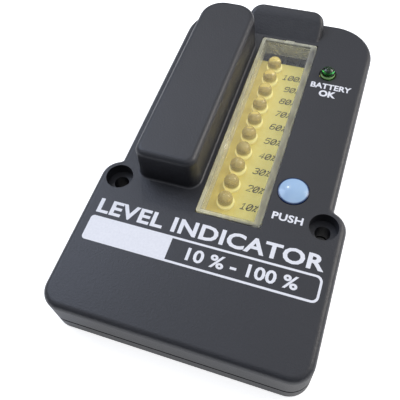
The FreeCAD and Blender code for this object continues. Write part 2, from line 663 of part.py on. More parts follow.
def front_housing():
    body = start_body("front_housing")
    block = case_block(body, "front", "parting_height", "case_depth - parting_height")
    front = value_of("case_depth")
    faced = round_edges(
        body, block, lambda edge: is_level(edge, front), "edge_round", "front_rounding")
    parting = value_of("parting_height")
    round_edges(
        body, faced, lambda edge: is_level(edge, parting), "seam_round", "front_seam_rounding")

    bay = start_sketch(body, "bay_outline", "case_depth - front_wall / 2")
    add_outline(bay, bay_corners("0"))
    rise = f"{BAY_TOP} - case_depth + front_wall / 2"
    raised = pad(body, bay, rise, "bay_block", draft="-bay_draft")
    top = value_of(BAY_TOP)
    rounded = round_edges(
        body, raised, lambda edge: is_level(edge, top), "edge_round", "bay_rounding")
    bay_left = -value_of(BAY_LEFT)
    bay_right = -value_of("bay_right")

    def is_foot(edge):
        box = edge.BoundBox
        inside = box.XMin > bay_left - 1 and box.XMax < bay_right + 1
        return is_level(edge, front) and inside

    round_edges(body, rounded, is_foot, "bay_root", "bay_foot_rounding")
    join = body.newObject("PartDesign::Boolean", "hood_join")
    join.Type = "Fuse"
    join.setObjects([hood_form()])
    body.Tip = join

    lower, upper = case_outlines(
        body, "front_room", "parting_height", "side_wall", "0", "-side_wall")
    inside = "case_depth - front_wall - parting_height"
    cut(body, lower, inside, "front_lower_room")
    cut(body, upper, inside, "front_upper_room")
    fill = "case_depth - front_wall / 2 - parting_height"
    shoulders = discs(
        body, "shoulder_filling", "parting_height", WALL_HOLES, "shoulder_radius - side_wall / 2")
    pad(body, shoulders, fill, "shoulder_bosses")
    bay_walls = start_sketch(body, "bay_wall_outline", "parting_height")
    add_outline(bay_walls, bay_corners("0"))
    pad(body, bay_walls, fill, "bay_walls")
    screw_bosses = discs(
        body, "screw_boss_outline", "parting_height", COVER_SCREWS, "boss_radius")
    pad(body, screw_bosses, fill, "screw_bosses")
    posts = discs(body, "post_outline", BOARD_TOP, BOARD_SCREWS, "post_radius")
    pad(body, posts, "board_drop - front_wall / 2", "board_posts")

    bay_room = start_sketch(body, "bay_room_outline", "parting_height")
    add_outline(bay_room, bay_corners("bay_wall"))
    cut(body, bay_room, "case_depth - parting_height", "bay_room")
    bay_top = start_sketch(body, "bay_top_outline", "case_depth - front_wall / 2")
    add_outline(bay_top, bay_corners("bay_wall"))
    cut(body, bay_top, f"{rise} - bay_wall", "bay_top_room", draft="-bay_draft")

    hood_room = start_sketch(body, "hood_room_profile", HOOD_MIDDLE, "YZ_Plane")
    inner_start = f"{HOOD_START} + front_wall"
    add_polygon(hood_room, (
        (inner_start, "case_depth - 1.5 * front_wall"),
        ("top_reach - side_wall", "case_depth - 1.5 * front_wall"),
        ("top_reach - side_wall", f"{HOOD_TOP} - front_wall"),
        (HOOD_CREST, f"{HOOD_TOP} - front_wall"),
        (inner_start, "case_depth - front_wall"),
    ))
    cut(body, hood_room, "hood_left + hood_right - 2 * side_wall", "hood_room", both_ways=True)

    low = "case_depth - 1.5 * front_wall"
    high = "2 * front_wall"
    window = start_sketch(body, "window_opening", low)
    add_outline(window, box_corners(
        f"-({WINDOW_LEFT} + window_gap)", f"{WINDOW_RIGHT} + window_gap",
        "-(window_near + window_gap)", f"{WINDOW_FAR} + window_gap"))
    cut(body, window, high, "window_cut")
    notch = start_sketch(body, "tab_notch_outline", low)
    add_outline(notch, box_corners(
        f"{WINDOW_MIDDLE} - tab_width / 2 - window_gap",
        f"{WINDOW_MIDDLE} + tab_width / 2 + window_gap",
        f"{WINDOW_FAR} - window_gap", f"{WINDOW_FAR} + tab_reach + window_gap"))
    cut(body, notch, high, "tab_notch")
    button = discs(body, "button_opening", low, ((BUTTON_X, "button_y"),), BUTTON_HOLE)
    cut(body, button, high, "button_cut")
    pilot = discs(body, "pilot_opening", low, ((BUTTON_X, PILOT_Y),), "pilot_radius + pilot_gap")
    cut(body, pilot, high, "pilot_cut")

    holes = discs(body, "wall_hole_outline", "parting_height", WALL_HOLES, "hole_radius")
    cut(body, holes, "case_depth - parting_height", "wall_holes")
    sinks = discs(body, "sink_outline", "case_depth - sink_depth", WALL_HOLES, "sink_radius")
    cut(body, sinks, "sink_depth", "head_recesses")
    pilots = discs(body, "screw_pilot_outline", "parting_height", COVER_SCREWS, "screw_radius")
    depth = "screw_length + screw_head_height + screw_sunk - parting_height + screw_end_gap"
    cut(body, pilots, depth, "screw_pilots")
    small = discs(body, "board_pilot_outline", BOARD_TOP, BOARD_SCREWS, "board_screw_radius")
    cut(body, small, "board_screw_length - board_thick + screw_end_gap", "board_pilots")

    slot = start_sketch(body, "slot_profile", "-(top_reach + side_wall)", "XZ_Plane")
    add_outline(slot, box_corners(
        f"{STRIP_LEFT} - slot_gap", f"{STRIP_RIGHT} + slot_gap",
        "parting_height - side_wall", f"{WIRE_Z} + slot_above", None, "slot_corner"))
    body.Tip = cut(body, slot, "2.5 * side_wall", "wire_slot")
    return body


# Back cover: shallow moulded tray with a locating lip, screw seats and ribs

def back_cover():
    body = start_body("back_cover")
    block = case_block(body, "back", "0", "parting_height")
    eased = round_edges(
        body, block, lambda edge: is_level(edge, 0), "back_round", "back_rounding")
    parting = value_of("parting_height")
    round_edges(
        body, eased, lambda edge: is_level(edge, parting), "seam_round", "cover_seam_rounding")
    shoulder_end = "-(shoulder_radius + lip_wall)"
    low_lip, high_lip = case_outlines(
        body, "lip", "parting_height - lip_height", LIP_OUTER, shoulder_end, shoulder_end)
    pad(body, low_lip, "2 * lip_height", "lower_lip")
    pad(body, high_lip, "2 * lip_height", "upper_lip")
    low_room, high_room = case_outlines(
        body, "cover_room", "floor_wall", LIP_INNER,
        f"{shoulder_end} - lip_wall", f"{shoulder_end} - 2 * lip_wall")
    room = "parting_height + lip_height - floor_wall"
    cut(body, low_room, room, "cover_lower_room")
    cut(body, high_room, room, "cover_upper_room")

    relief = discs(
        body, "shoulder_relief_outline", "parting_height", WALL_HOLES, "shoulder_radius + lip_gap")
    cut(body, relief, "2 * lip_height", "shoulder_relief")
    foot = "floor_wall / 2"
    shoulders = discs(
        body, "cover_shoulder_outline", foot, WALL_HOLES, "shoulder_radius - side_wall / 2")
    pad(body, shoulders, f"parting_height - {foot}", "cover_shoulder_bosses")
    bosses = discs(body, "cover_boss_outline", foot, COVER_SCREWS, "boss_radius")
    pad(body, bosses, f"parting_height - {foot}", "cover_screw_bosses")

    cell_room = start_sketch(body, "cell_room_outline", "floor_wall - cell_recess")
    add_outline(cell_room, box_corners(
        f"{BAY_CENTRE} - cell_width / 2 - cell_rib_gap",
        f"{BAY_CENTRE} + cell_width / 2 + cell_rib_gap",
        f"{CELL_NEAR} - cell_rib_gap", f"{CELL_FAR} + cell_rib_gap"))
    cut(body, cell_room, "parting_height", "cell_room")
    ribs = start_sketch(body, "cell_rib_outline", foot)
    for side in ("-1", "1"):
        middle = f"{BAY_CENTRE} + {side} * (cell_width / 2 + cell_rib_gap + rib_wall / 2)"
        add_outline(ribs, box_corners(
            f"{middle} - rib_wall / 2", f"{middle} + rib_wall / 2",
            f"{CELL_NEAR} + cell_rib_margin", f"{CELL_FAR} - cell_rib_margin"))
    pad(body, ribs, f"parting_height - slide_gap - {foot}", "cell_ribs")

    stiffening = start_sketch(body, "stiffening_rib_outline", foot)
    for step in ("1", "2"):
        rib_y = f"{shoulder_end} - lip_wall - {step} * rib_spacing"
        add_outline(stiffening, box_corners(
            f"-({LOWER_HALF_WIDTH} - side_wall)", f"{LOWER_HALF_WIDTH} - side_wall",
            f"{rib_y} - rib_wall", rib_y))
    pad(body, stiffening, f"floor_wall + rib_height - {foot}", "stiffening_ribs")

    cradle = start_sketch(body, "cradle_outline", foot)
    add_outline(cradle, box_corners(
        STRIP_LEFT, f"{STRIP_LEFT} + strip_foot", STRIP_NEAR, STRIP_FAR))
    add_outline(cradle, box_corners(
        f"{STRIP_RIGHT} - strip_foot", STRIP_RIGHT, STRIP_NEAR, STRIP_FAR))
    pad(body, cradle, f"{STRIP_SEAT} - {foot}", "strip_cradle")

    holes = discs(body, "cover_wall_holes", "-parting_height", WALL_HOLES, "hole_radius")
    cut(body, holes, "3 * parting_height", "cover_wall_hole_cut")
    through = discs(
        body, "cover_screw_holes", "-parting_height", COVER_SCREWS, "screw_radius + screw_gap")
    cut(body, through, "3 * parting_height", "cover_screw_hole_cut")
    recesses = discs(body, "cover_recess_outline", "-screw_sunk", COVER_SCREWS, "screw_head + screw_gap")
    cut(body, recesses, "screw_head_height + 2 * screw_sunk", "cover_recesses")
    gate = start_sketch(body, "lip_gate", "parting_height")
    add_outline(gate, box_corners(
        f"{STRIP_LEFT} - slot_gap", f"{STRIP_RIGHT} + slot_gap",
        f"{STRIP_FAR} - side_wall", "top_reach - side_wall + lip_gap"))
    body.Tip = cut(body, gate, "2 * lip_height", "lip_gate_cut")
    return body


# Clear window: one moulded box, open at the back, with a flange and a gate tab

def window_lens():
    body = start_body("window_lens")
    foot = f"({BOARD_TOP} + window_lift)"
    front = "(case_depth + window_proud)"
    outer = start_sketch(body, "lens_outline", foot)
    add_outline(outer, box_corners(
        f"-{WINDOW_LEFT}", WINDOW_RIGHT, "-window_near", WINDOW_FAR,
        "window_corner", "window_corner"))
    plate = pad(body, outer, f"{front} - {foot}", "lens_block")
    top = value_of(front)
    round_edges(
        body, plate, lambda edge: is_level(edge, top), "window_edge", "lens_edge_rounding")
    under_wall = "(case_depth - front_wall - flange_gap)"
    flange = start_sketch(body, "flange_outline", f"{under_wall} - flange_height")
    add_outline(flange, box_corners(
        f"-({WINDOW_LEFT} + flange_width)", f"{WINDOW_RIGHT} + flange_width",
        "-(window_near + flange_width)", f"{WINDOW_FAR} + flange_width",
        "window_corner", "window_corner"))
    pad(body, flange, "flange_height", "lens_flange")
    tab = start_sketch(body, "tab_outline", f"{under_wall} - flange_height / 2")
    add_outline(tab, box_corners(
        f"{WINDOW_MIDDLE} - tab_width / 2", f"{WINDOW_MIDDLE} + tab_width / 2",
        f"{WINDOW_FAR} - window_wall / 2", f"{WINDOW_FAR} + tab_reach"))
    pad(body, tab, "front_wall + flange_gap + flange_height / 2", "lens_tab")
    room = start_sketch(body, "lens_room", foot)
    add_outline(room, box_corners(
        f"-({WINDOW_LEFT} - window_wall)", f"{WINDOW_RIGHT} - window_wall",
        "-(window_near - window_wall)", f"{WINDOW_FAR} - window_wall"))
    body.Tip = cut(body, room, f"{front} - {foot} - window_plate", "lens_room_cut")
    return body


# Push button: moulded cap with a retaining flange and a socket for the plunger

def push_button():
    body = start_body("push_button")
    turn_crowned(body, "button", (
        ("0", "case_depth + button_crown"),
        ("0", BUTTON_FOOT),
        (BUTTON_FLANGE, BUTTON_FOOT),
        (BUTTON_FLANGE, BUTTON_WALL),
        ("button_radius", BUTTON_WALL),
        ("button_radius", "case_depth + button_rim"),
    ))
    socket = discs(
        body, "button_socket_outline", BUTTON_FOOT, (("0", "0"),), "plunger_radius + slide_gap / 2")
    body.Tip = cut(body, socket, "button_socket", "button_socket_cut")
    return stand_at(body, BUTTON_X, "button_y")


# Circuit board with a square hole for each lead

def lead_hole_pair(body, name, centre, span, y):
    """Cut a square hole on each side of a centre."""
    pair = start_sketch(body, f"{name}_hole_pair", BOARD_UNDER)
    for side in ("-", "+"):
        add_outline(pair, square_corners(
            f"{centre} {side} {span} / 2", y, "(lead_side + 2 * lead_gap)"))
    return cut(body, pair, "board_thick", f"{name}_hole_cut")


def circuit_board():
    body = start_body("circuit_board")
    outline = start_sketch(body, "board_outline", BOARD_UNDER)
    add_outline(outline, box_corners(
        f"-{BOARD_LEFT}", BOARD_RIGHT, f"-{BOARD_NEAR}", BOARD_FAR,
        "board_corner", "board_corner"))
    pad(body, outline, "board_thick", "board_plate")
    notch = discs(
        body, "board_notch", BOARD_UNDER, WALL_HOLES[1:], "shoulder_radius + board_gap")
    cut(body, notch, "board_thick", "board_notch_cut")
    lamp_holes = lead_hole_pair(body, "lamp", LAMP_X, "lead_spacing", LAMP_FIRST)
    repeat(body, [lamp_holes], "lamp_hole_row", f"{LAMP_STEP} * {LAMP_COUNT - 1}", str(LAMP_COUNT))
    chip_holes = lead_hole_pair(body, "chip", ROW_CENTRE, "pin_row", CHIP_FIRST_PIN)
    repeat(body, [chip_holes], "chip_hole_row", "pin_spacing * (pin_count - 1)", "pin_count")
    resistor_holes = lead_hole_pair(body, "resistor", ROW_CENTRE, "resistor_span", RESISTOR_Y)
    repeat(body, [resistor_holes], "resistor_hole_row",
           "resistor_spacing * (resistor_count - 1)", "resistor_count")
    lead_hole_pair(body, "pilot", BUTTON_X, "lead_spacing", PILOT_Y)
    screw_holes = discs(
        body, "board_screw_holes", BOARD_UNDER, BOARD_SCREWS, "board_screw_radius + screw_gap")
    body.Tip = cut(body, screw_holes, "board_thick", "board_screw_hole_cut")
    return body


# Lamps: clear moulded bodies with a flange, a dome and two square leads

def lamp(name, kind, height, x, y):
    """Build one lamp that stands on the board at the named place."""
    body = start_body(name)
    base = f"({BOARD_TOP} + {kind}_lift)"
    top = f"({base} + {height})"
    turn_crowned(body, name, (
        ("0", top),
        ("0", base),
        (f"{kind}_flange", base),
        (f"{kind}_flange", f"{base} + {kind}_flange_height"),
        (f"{kind}_radius", f"{base} + {kind}_flange_height"),
        (f"{kind}_radius", f"{top} - {kind}_radius"),
    ))
    leads = start_sketch(body, f"{name}_leads", LEAD_END)
    for side in ("-1", "1"):
        add_outline(leads, square_corners(f"{side} * lead_spacing / 2", "0", "lead_side"))
    length = f"{base} - {LEAD_END} + {kind}_flange_height / 2"
    body.Tip = pad(body, leads, length, f"{name}_lead_pair")
    return stand_at(body, x, y)


# Push switch on the board: square body with a bore, and its round plunger

def push_switch():
    body = start_body("push_switch_body")
    outline = start_sketch(body, "switch_outline", BOARD_TOP)
    half = "switch_side / 2"
    add_outline(outline, box_corners(
        f"-{half}", half, f"-{half}", half, "switch_corner", "switch_corner"))
    pad(body, outline, "switch_height", "switch_block")
    floor = f"({PLUNGER_FOOT} - button_travel - switch_floor)"
    bore = discs(body, "switch_bore", floor, (("0", "0"),), "plunger_radius + slide_gap")
    body.Tip = cut(body, bore, f"{BOARD_TOP} + switch_height - {floor}", "switch_bore_cut")
    stand_at(body, BUTTON_X, "button_y")

    plunger = doc.addObject("Part::Cylinder", "push_switch_plunger")
    plunger.Label = "push_switch_plunger"
    bind(plunger, "Radius", "plunger_radius")
    bind(plunger, "Height", f"{PLUNGER_TOP} - {PLUNGER_FOOT}")
    bind(plunger, "Placement.Base.z", PLUNGER_FOOT)
    return body, stand_at(plunger, BUTTON_X, "button_y")


# Battery, its snap connector and the two leads

STUDS = (
    ("small", f"{CELL_MIDDLE_Z} + stud_spacing / 2", "stud_radius"),
    ("large", f"{CELL_MIDDLE_Z} - stud_spacing / 2", "socket_radius"),
)


def battery():
    body = start_body("battery_9v")
    section = start_sketch(body, "cell_section", f"-{CELL_NEAR}", "XZ_Plane")
    half = "cell_width / 2"
    add_outline(section, box_corners(
        f"{BAY_CENTRE} - {half}", f"{BAY_CENTRE} + {half}", CELL_Z, f"{CELL_Z} + cell_height",
        "cell_corner", "cell_corner"))
    pad(body, section, "cell_length", "cell_can", against_normal=True)
    for name, height, radius in STUDS:
        outline = discs(
            body, f"{name}_stud_outline", f"-({CELL_FAR} - stud_height)",
            ((BAY_CENTRE, height),), radius, "XZ_Plane")
        body.Tip = pad(body, outline, "2 * stud_height", f"{name}_stud", against_normal=True)
    return body


def battery_snap():
    body = start_body("battery_snap")
    near = f"({CELL_FAR} + snap_gap)"
    section = start_sketch(body, "snap_section", f"-{near}", "XZ_Plane")
    wide = "snap_width / 2"
    tall = "snap_height / 2"
    add_outline(section, box_corners(
        f"{BAY_CENTRE} - {wide}", f"{BAY_CENTRE} + {wide}",
        f"{CELL_MIDDLE_Z} - {tall}", f"{CELL_MIDDLE_Z} + {tall}", "snap_corner", "snap_corner"))
    pad(body, section, "snap_thick", "snap_block", against_normal=True)
    for name, height, radius in STUDS:
        cup = discs(
            body, f"{name}_cup_outline", f"-{near}", ((BAY_CENTRE, height),),
            f"{radius} + slide_gap", "XZ_Plane")
        body.Tip = cut(body, cup, "stud_height", f"{name}_cup", along_normal=False)
    return body


def rounded_route(points):
    """Join straight runs through the points with arcs as large as the runs allow."""
    edges = []
    start = points[0]
    for before, corner, after in zip(points, points[1:], points[2:]):
        back = before - corner
        ahead = after - corner
        reach = 0.45 * min(back.Length, ahead.Length)
        bend = math.pi - back.getAngle(ahead)
        radius = reach / math.tan(bend / 2)
        first = corner + back.normalize() * reach
        last = corner + ahead.normalize() * reach
        inwards = (back + ahead).normalize()
        middle = corner + inwards * (math.hypot(radius, reach) - radius)
        edges.append(Part.LineSegment(start, first).toShape())
        edges.append(Part.Arc(first, middle, last).toShape())
        start = last
        print(f"wire bend radius {radius:.1f} mm")
    edges.append(Part.LineSegment(start, points[-1]).toShape())
    return Part.Wire(edges)


def wire_along(name, points):
    """Sweep a battery lead along a rounded route."""
    radius = value_of("wire_radius")
    route = rounded_route([FreeCAD.Vector(*point) for point in points])
    first = route.Edges[0]
    start = first.valueAt(first.FirstParameter)
    heading = first.tangentAt(first.FirstParameter)
    section = Part.Wire(Part.Circle(start, heading, radius).toShape())
    solid = route.makePipeShell([section], True, True)
    expected = math.pi * radius ** 2 * route.Length
    if abs(solid.Volume - expected) > 0.02 * expected:
        raise ValueError(f"{name}: the swept wire has the wrong volume")
    feature = doc.addObject("Part::Feature", name)
    feature.Label = name
    feature.Shape = solid
    return feature


def battery_leads():
    """Lead both wires from the connector down and under the bay wall to the board."""
    middle = value_of(BAY_CENTRE)
    spread = value_of("wire_spread")
    back = value_of(f"{CELL_FAR} + snap_gap + snap_thick")
    room = value_of(f"{BAY_FAR} - bay_wall") - back
    high = value_of(f"{CELL_MIDDLE_Z} - 3 * wire_radius")
    turned_down = value_of("floor_wall + 6 * wire_radius")
    low = value_of("floor_wall + 3.5 * wire_radius")
    under_board = value_of(f"{BOARD_UNDER} - 1.05 * wire_radius")
    wall_x = -value_of("bay_right + bay_wall")
    board_x = value_of(f"post_inset - {BOARD_LEFT}") + spread
    red = (
        (middle - spread, back, high),
        (middle - spread, back + 0.46 * room, high),
        (middle, back + 0.58 * room, turned_down),
        (wall_x, back + 0.47 * room, low),
        (board_x, back + 0.4 * room, under_board),
    )
    black = (
        (middle + spread, back, high),
        (middle + spread, back + 0.27 * room, high),
        (middle + 2 * spread, back + 0.36 * room, turned_down),
        (wall_x, back + 0.23 * room, low),
        (board_x, back + 0.17 * room, under_board),
    )
    return wire_along("battery_lead_red", red), wire_along("battery_lead_black", black)


# Terminal strip under the hood, with its screws and the links to the board

def strip_places(height):
    """Places of the terminals across the strip."""
    return tuple(
        (f"{HOOD_MIDDLE} + strip_spacing * ({way} - (strip_count - 1) / 2)", height)
        for way in range(int(value_of("strip_count")))
    )


def terminal_strip():
    body = start_body("terminal_strip")
    profile = start_sketch(body, "strip_profile", HOOD_MIDDLE, "YZ_Plane")
    add_polygon(profile, (
        (STRIP_NEAR, STRIP_SEAT),
        (STRIP_FAR, STRIP_SEAT),
        (STRIP_FAR, STRIP_TOP),
        (f"{STRIP_FAR} - strip_top_depth", STRIP_TOP),
        (STRIP_NEAR, f"{STRIP_TOP} - strip_slope_drop"),
    ))
    pad(body, profile, f"2 * {STRIP_HALF}", "strip_block", both_ways=True)
    wires = discs(
        body, "wire_hole_outline", f"-{STRIP_FAR}", strip_places(WIRE_Z), "wire_hole", "XZ_Plane")
    cut(body, wires, "strip_depth - wire_end_wall", "wire_holes")
    wells = discs(
        body, "clamp_wells", STRIP_TOP, strip_places(CLAMP_Y), "clamp_radius + slide_gap")
    depth = "clamp_sunk + clamp_head_height + clamp_length + screw_end_gap"
    body.Tip = cut(body, wells, depth, "clamp_well_cut", along_normal=False)
    return body


def terminal_links():
    """Build the short wires between the terminals and the underside of the board."""
    body = start_body("terminal_links")
    places = strip_places(f"{BOARD_UNDER} - 1.05 * wire_radius")
    outline = discs(body, "link_outline", f"-{STRIP_NEAR}", places, "wire_radius", "XZ_Plane")
    body.Tip = pad(body, outline, f"{STRIP_NEAR} - {BOARD_FAR} + link_reach", "link_wires")
    return body


def slotted_screws(name, places, shank, shank_length, head, head_height, top, points_down):
    """Build a group of like screws with slotted heads.

    The free face of the heads lies at the named height.
    """
    body = start_body(name)
    heads = discs(body, f"{name}_head_outline", top, places, head)
    pad(body, heads, head_height, f"{name}_heads", against_normal=points_down)
    sign = "-" if points_down else "+"
    shanks = discs(body, f"{name}_shank_outline", f"{top} {sign} {head_height} / 2", places, shank)
    length = f"{head_height} / 2 + {shank_length}"
    pad(body, shanks, length, f"{name}_shanks", against_normal=points_down)
    slots = start_sketch(body, f"{name}_slot_outline", top)
    for x, y in places:
        add_outline(slots, box_corners(
            f"{x} - 1.2 * {head}", f"{x} + 1.2 * {head}",
            f"{y} - slot_width / 2", f"{y} + slot_width / 2"))
    body.Tip = cut(body, slots, "slot_depth", f"{name}_slots", along_normal=not points_down)
    return body


# Driver chip with two rows of bent pins

def driver_chip():
    body = start_body("driver_chip")
    outline = start_sketch(body, "chip_outline", f"{BOARD_TOP} + chip_lift")
    add_outline(outline, box_corners(
        "-chip_width / 2", "chip_width / 2", "-chip_length / 2", "chip_length / 2"))
    pad(body, outline, "chip_height", "chip_block")
    top = f"{BOARD_TOP} + chip_lift + chip_height"
    notch = discs(
        body, "chip_notch_outline", f"{top} - chip_notch_depth", (("0", "chip_length / 2"),),
        "chip_notch")
    cut(body, notch, "chip_notch_depth", "chip_notch_cut")
    pin = start_sketch(body, "pin_profile", "pin_spacing * (pin_count - 1) / 2", "XZ_Plane")
    knee = f"({BOARD_TOP} + chip_lift + chip_height / 2)"
    half = "pin_thick / 2"
    for side in ("-1", "1"):
        root = f"{side} * (chip_width / 2 - pin_thick)"
        inner = f"{side} * (pin_row / 2 - {half})"
        outer = f"{side} * (pin_row / 2 + {half})"
        add_polygon(pin, (
            (root, f"{knee} - {half}"), (inner, f"{knee} - {half}"), (inner, LEAD_END),
            (outer, LEAD_END), (outer, f"{knee} + {half}"), (root, f"{knee} + {half}")))
    pair = pad(body, pin, "lead_side", "pin_pair", both_ways=True)
    repeat(body, [pair], "pin_rows", "pin_spacing * (pin_count - 1)", "pin_count")
    return stand_at(body, ROW_CENTRE, CHIP_Y)


# Trimmer, capacitor and resistors

def trimmer():
    body = start_body("trimmer")
    outline = start_sketch(body, "trimmer_outline", BOARD_TOP)
    half = "trimmer_side / 2"
    add_outline(outline, box_corners(
        f"-{half}", half, f"-{half}", half, "trimmer_corner", "trimmer_corner"))
    pad(body, outline, "trimmer_height", "trimmer_block")
    top = f"{BOARD_TOP} + trimmer_height"
    rotor = discs(body, "rotor_outline", f"{top} - rotor_proud", (("0", "0"),), "rotor_radius")
    pad(body, rotor, "2 * rotor_proud", "rotor_disc")
    slot = start_sketch(body, "rotor_slot_outline", f"{top} + rotor_proud - slot_depth")
    add_outline(slot, box_corners(
        "-rotor_radius", "rotor_radius", "-slot_width / 2", "slot_width / 2"))
    body.Tip = cut(body, slot, "slot_depth", "rotor_slot")
    return stand_at(body, TRIMMER_X, "button_y - trimmer_offset")


def capacitor():
    body = start_body("capacitor")
    top = f"{BOARD_TOP} + capacitor_height"
    profile = start_sketch(body, "capacitor_profile", "0", "XZ_Plane")
    add_polygon(profile, (
        ("0", BOARD_TOP),
        ("capacitor_radius", BOARD_TOP),
        ("capacitor_radius", f"{top} - capacitor_bevel"),
        ("capacitor_radius - capacitor_bevel", top),
        ("0", top),
    ))
    body.Tip = turn(body, "capacitor", profile)
    return stand_at(body, TRIMMER_X, "button_y - capacitor_offset")


def resistors():
    body = start_body("resistors")
    centre_z = f"({BOARD_TOP} + resistor_radius)"
    barrel = discs(
        body, "resistor_barrel", ROW_CENTRE, ((RESISTOR_Y, centre_z),), "resistor_radius",
        "YZ_Plane")
    bodies = pad(body, barrel, "resistor_length", "resistor_body", both_ways=True)
    arm = start_sketch(body, "resistor_arm", ROW_CENTRE, "YZ_Plane")
    add_outline(arm, square_corners(RESISTOR_Y, centre_z, "lead_side"))
    arms = pad(body, arm, "resistor_span + lead_side", "resistor_arms", both_ways=True)
    leg = start_sketch(body, "resistor_leg", LEAD_END)
    for side in ("-", "+"):
        add_outline(leg, square_corners(
            f"{ROW_CENTRE} {side} resistor_span / 2", RESISTOR_Y, "lead_side"))
    legs = pad(body, leg, f"{centre_z} - {LEAD_END}", "resistor_legs")
    repeat(body, [bodies, arms, legs], "resistor_row",
           "resistor_spacing * (resistor_count - 1)", "resistor_count")
    return body


# Assembly

parts = [front_housing(), back_cover(), window_lens(), push_button(), circuit_board()]
for number in range(LAMP_COUNT):
    label = f"level_lamp_{100 * (number + 1) // LAMP_COUNT}"
    height = f"{LAMP_FIRST} + {LAMP_STEP} * {number}"
    parts.append(lamp(label, "lamp", "lamp_height", LAMP_X, height))
pilot_height = "(board_drop + pilot_proud - pilot_lift)"
parts.append(lamp("battery_lamp", "pilot", pilot_height, BUTTON_X, PILOT_Y))
parts.extend(push_switch())
parts.append(battery())
parts.append(battery_snap())
parts.extend(battery_leads())
parts.append(terminal_strip())
parts.append(slotted_screws(
    "terminal_screws", strip_places(CLAMP_Y), "clamp_shank", "clamp_length",
    "clamp_radius", "clamp_head_height", f"({STRIP_TOP} - clamp_sunk)", points_down=True))
parts.append(terminal_links())
parts.append(driver_chip())
parts.append(trimmer())
parts.append(capacitor())
parts.append(resistors())
parts.append(slotted_screws(
    "board_screws", BOARD_SCREWS, "board_screw_radius", "board_screw_length",
    "board_screw_head", "board_screw_head_height",
    f"({BOARD_UNDER} - board_screw_head_height)", points_down=False))
parts.append(slotted_screws(
    "cover_screws", COVER_SCREWS, "screw_radius", "screw_length", "screw_head",
    "screw_head_height", "screw_sunk", points_down=False))
doc.recompute()


# Checks and export

def check_document():
    """Stop if an object failed, a cut removed nothing or a pad added nothing."""
    for item in doc.Objects:
        faults = [state for state in item.State if state in ("Invalid", "Error")]
        if faults:
            raise ValueError(f"{item.Name}: {faults}")
    for body in doc.findObjects("PartDesign::Body"):
        volume = 0.0
        for feature in body.Group:
            if not feature.isDerivedFrom("PartDesign::Feature"):
                continue
            now = feature.Shape.Volume
            if feature.isDerivedFrom("PartDesign::Pocket") and now > volume - 1e-4:
                raise ValueError(f"{feature.Name}: cuts nothing")
            if feature.isDerivedFrom("PartDesign::Pad") and now < volume + 1e-4:
                raise ValueError(f"{feature.Name}: adds nothing")
            volume = now


check_document()
os.makedirs("parts", exist_ok=True)
for part in parts:
    shape = part.Shape
    if shape.isNull() or not shape.isValid():
        raise ValueError(f"{part.Label}: shape is not valid")
    shape.exportStep(f"parts/{part.Label}.step")
    print(f"{part.Label}: {len(shape.Solids)} solids, {shape.Volume:.1f} mm3")
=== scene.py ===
"""Looks of the tank level indicator: moulded case, clear window, lamps, button, print, studio."""

import math

import bpy
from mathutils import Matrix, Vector


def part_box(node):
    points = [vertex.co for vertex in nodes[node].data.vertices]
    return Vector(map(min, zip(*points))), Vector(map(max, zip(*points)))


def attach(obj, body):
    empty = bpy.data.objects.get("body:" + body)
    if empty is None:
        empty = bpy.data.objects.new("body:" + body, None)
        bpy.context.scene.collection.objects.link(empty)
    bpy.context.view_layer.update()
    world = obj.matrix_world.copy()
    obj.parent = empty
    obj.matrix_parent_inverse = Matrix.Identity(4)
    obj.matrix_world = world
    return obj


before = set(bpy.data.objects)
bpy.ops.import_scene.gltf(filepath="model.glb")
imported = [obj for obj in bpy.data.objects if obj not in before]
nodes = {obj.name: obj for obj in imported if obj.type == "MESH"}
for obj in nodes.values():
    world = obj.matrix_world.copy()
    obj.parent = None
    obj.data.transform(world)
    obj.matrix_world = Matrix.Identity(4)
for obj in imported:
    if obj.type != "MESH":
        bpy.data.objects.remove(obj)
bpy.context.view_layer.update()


# Case: front housing and back cover
# Two injection moulded shells of black ABS, screwed together from behind. The tool's spark
# eroded grain leaves a satin skin, which handling has polished on the rounded edges.

def linear(code):
    """Turn an sRGB hex value into linear colour."""
    shares = [int(code[start:start + 2], 16) / 255 for start in (1, 3, 5)]
    return tuple(
        share / 12.92 if share <= 0.04045 else ((share + 0.055) / 1.055) ** 2.4
        for share in shares
    ) + (1.0,)


def add_node(tree, kind, settings=None, inputs=None):
    """Add a node with its settings. An input is a value, or the socket that it is linked from."""
    node = tree.nodes.new(kind)
    for name, value in (settings or {}).items():
        setattr(node, name, value)
    for name, value in (inputs or {}).items():
        if isinstance(value, bpy.types.NodeSocket):
            tree.links.new(value, node.inputs[name])
        else:
            node.inputs[name].default_value = value
    return node


def start_material(name):
    """Start a material that reads the part's own coordinates."""
    material = bpy.data.materials.new(name)
    material.use_nodes = True
    tree = material.node_tree
    tree.nodes.clear()
    coordinates = add_node(tree, "ShaderNodeTexCoord").outputs["Object"]
    return material, tree, coordinates


def show(tree, surface):
    """Give a material its surface."""
    add_node(tree, "ShaderNodeOutputMaterial", inputs={"Surface": surface.outputs[0]})


def dress(material, *names):
    """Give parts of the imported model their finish."""
    for name in names:
        for slot in nodes[name].material_slots:
            slot.material = material


SATIN_GRAIN = 0.0006          # spark eroded grain, drawn twice as coarse as real so that it shows
GRAIN_DEPTH = 0.00009
FLOW_MARK = 0.022             # broad marks that the plastic leaves as it fills the mould
SCUFF = 0.0035                # patches that handling has rubbed
PARTING_HEIGHT = 0.006        # where the two shells meet
SEAM_SHADOW_CORE = 0.00042           # the groove's painted shadow is black this far above and below it
SEAM_SHADOW_EDGE = 0.00058           # here the painted shadow has faded to the colour of the shells
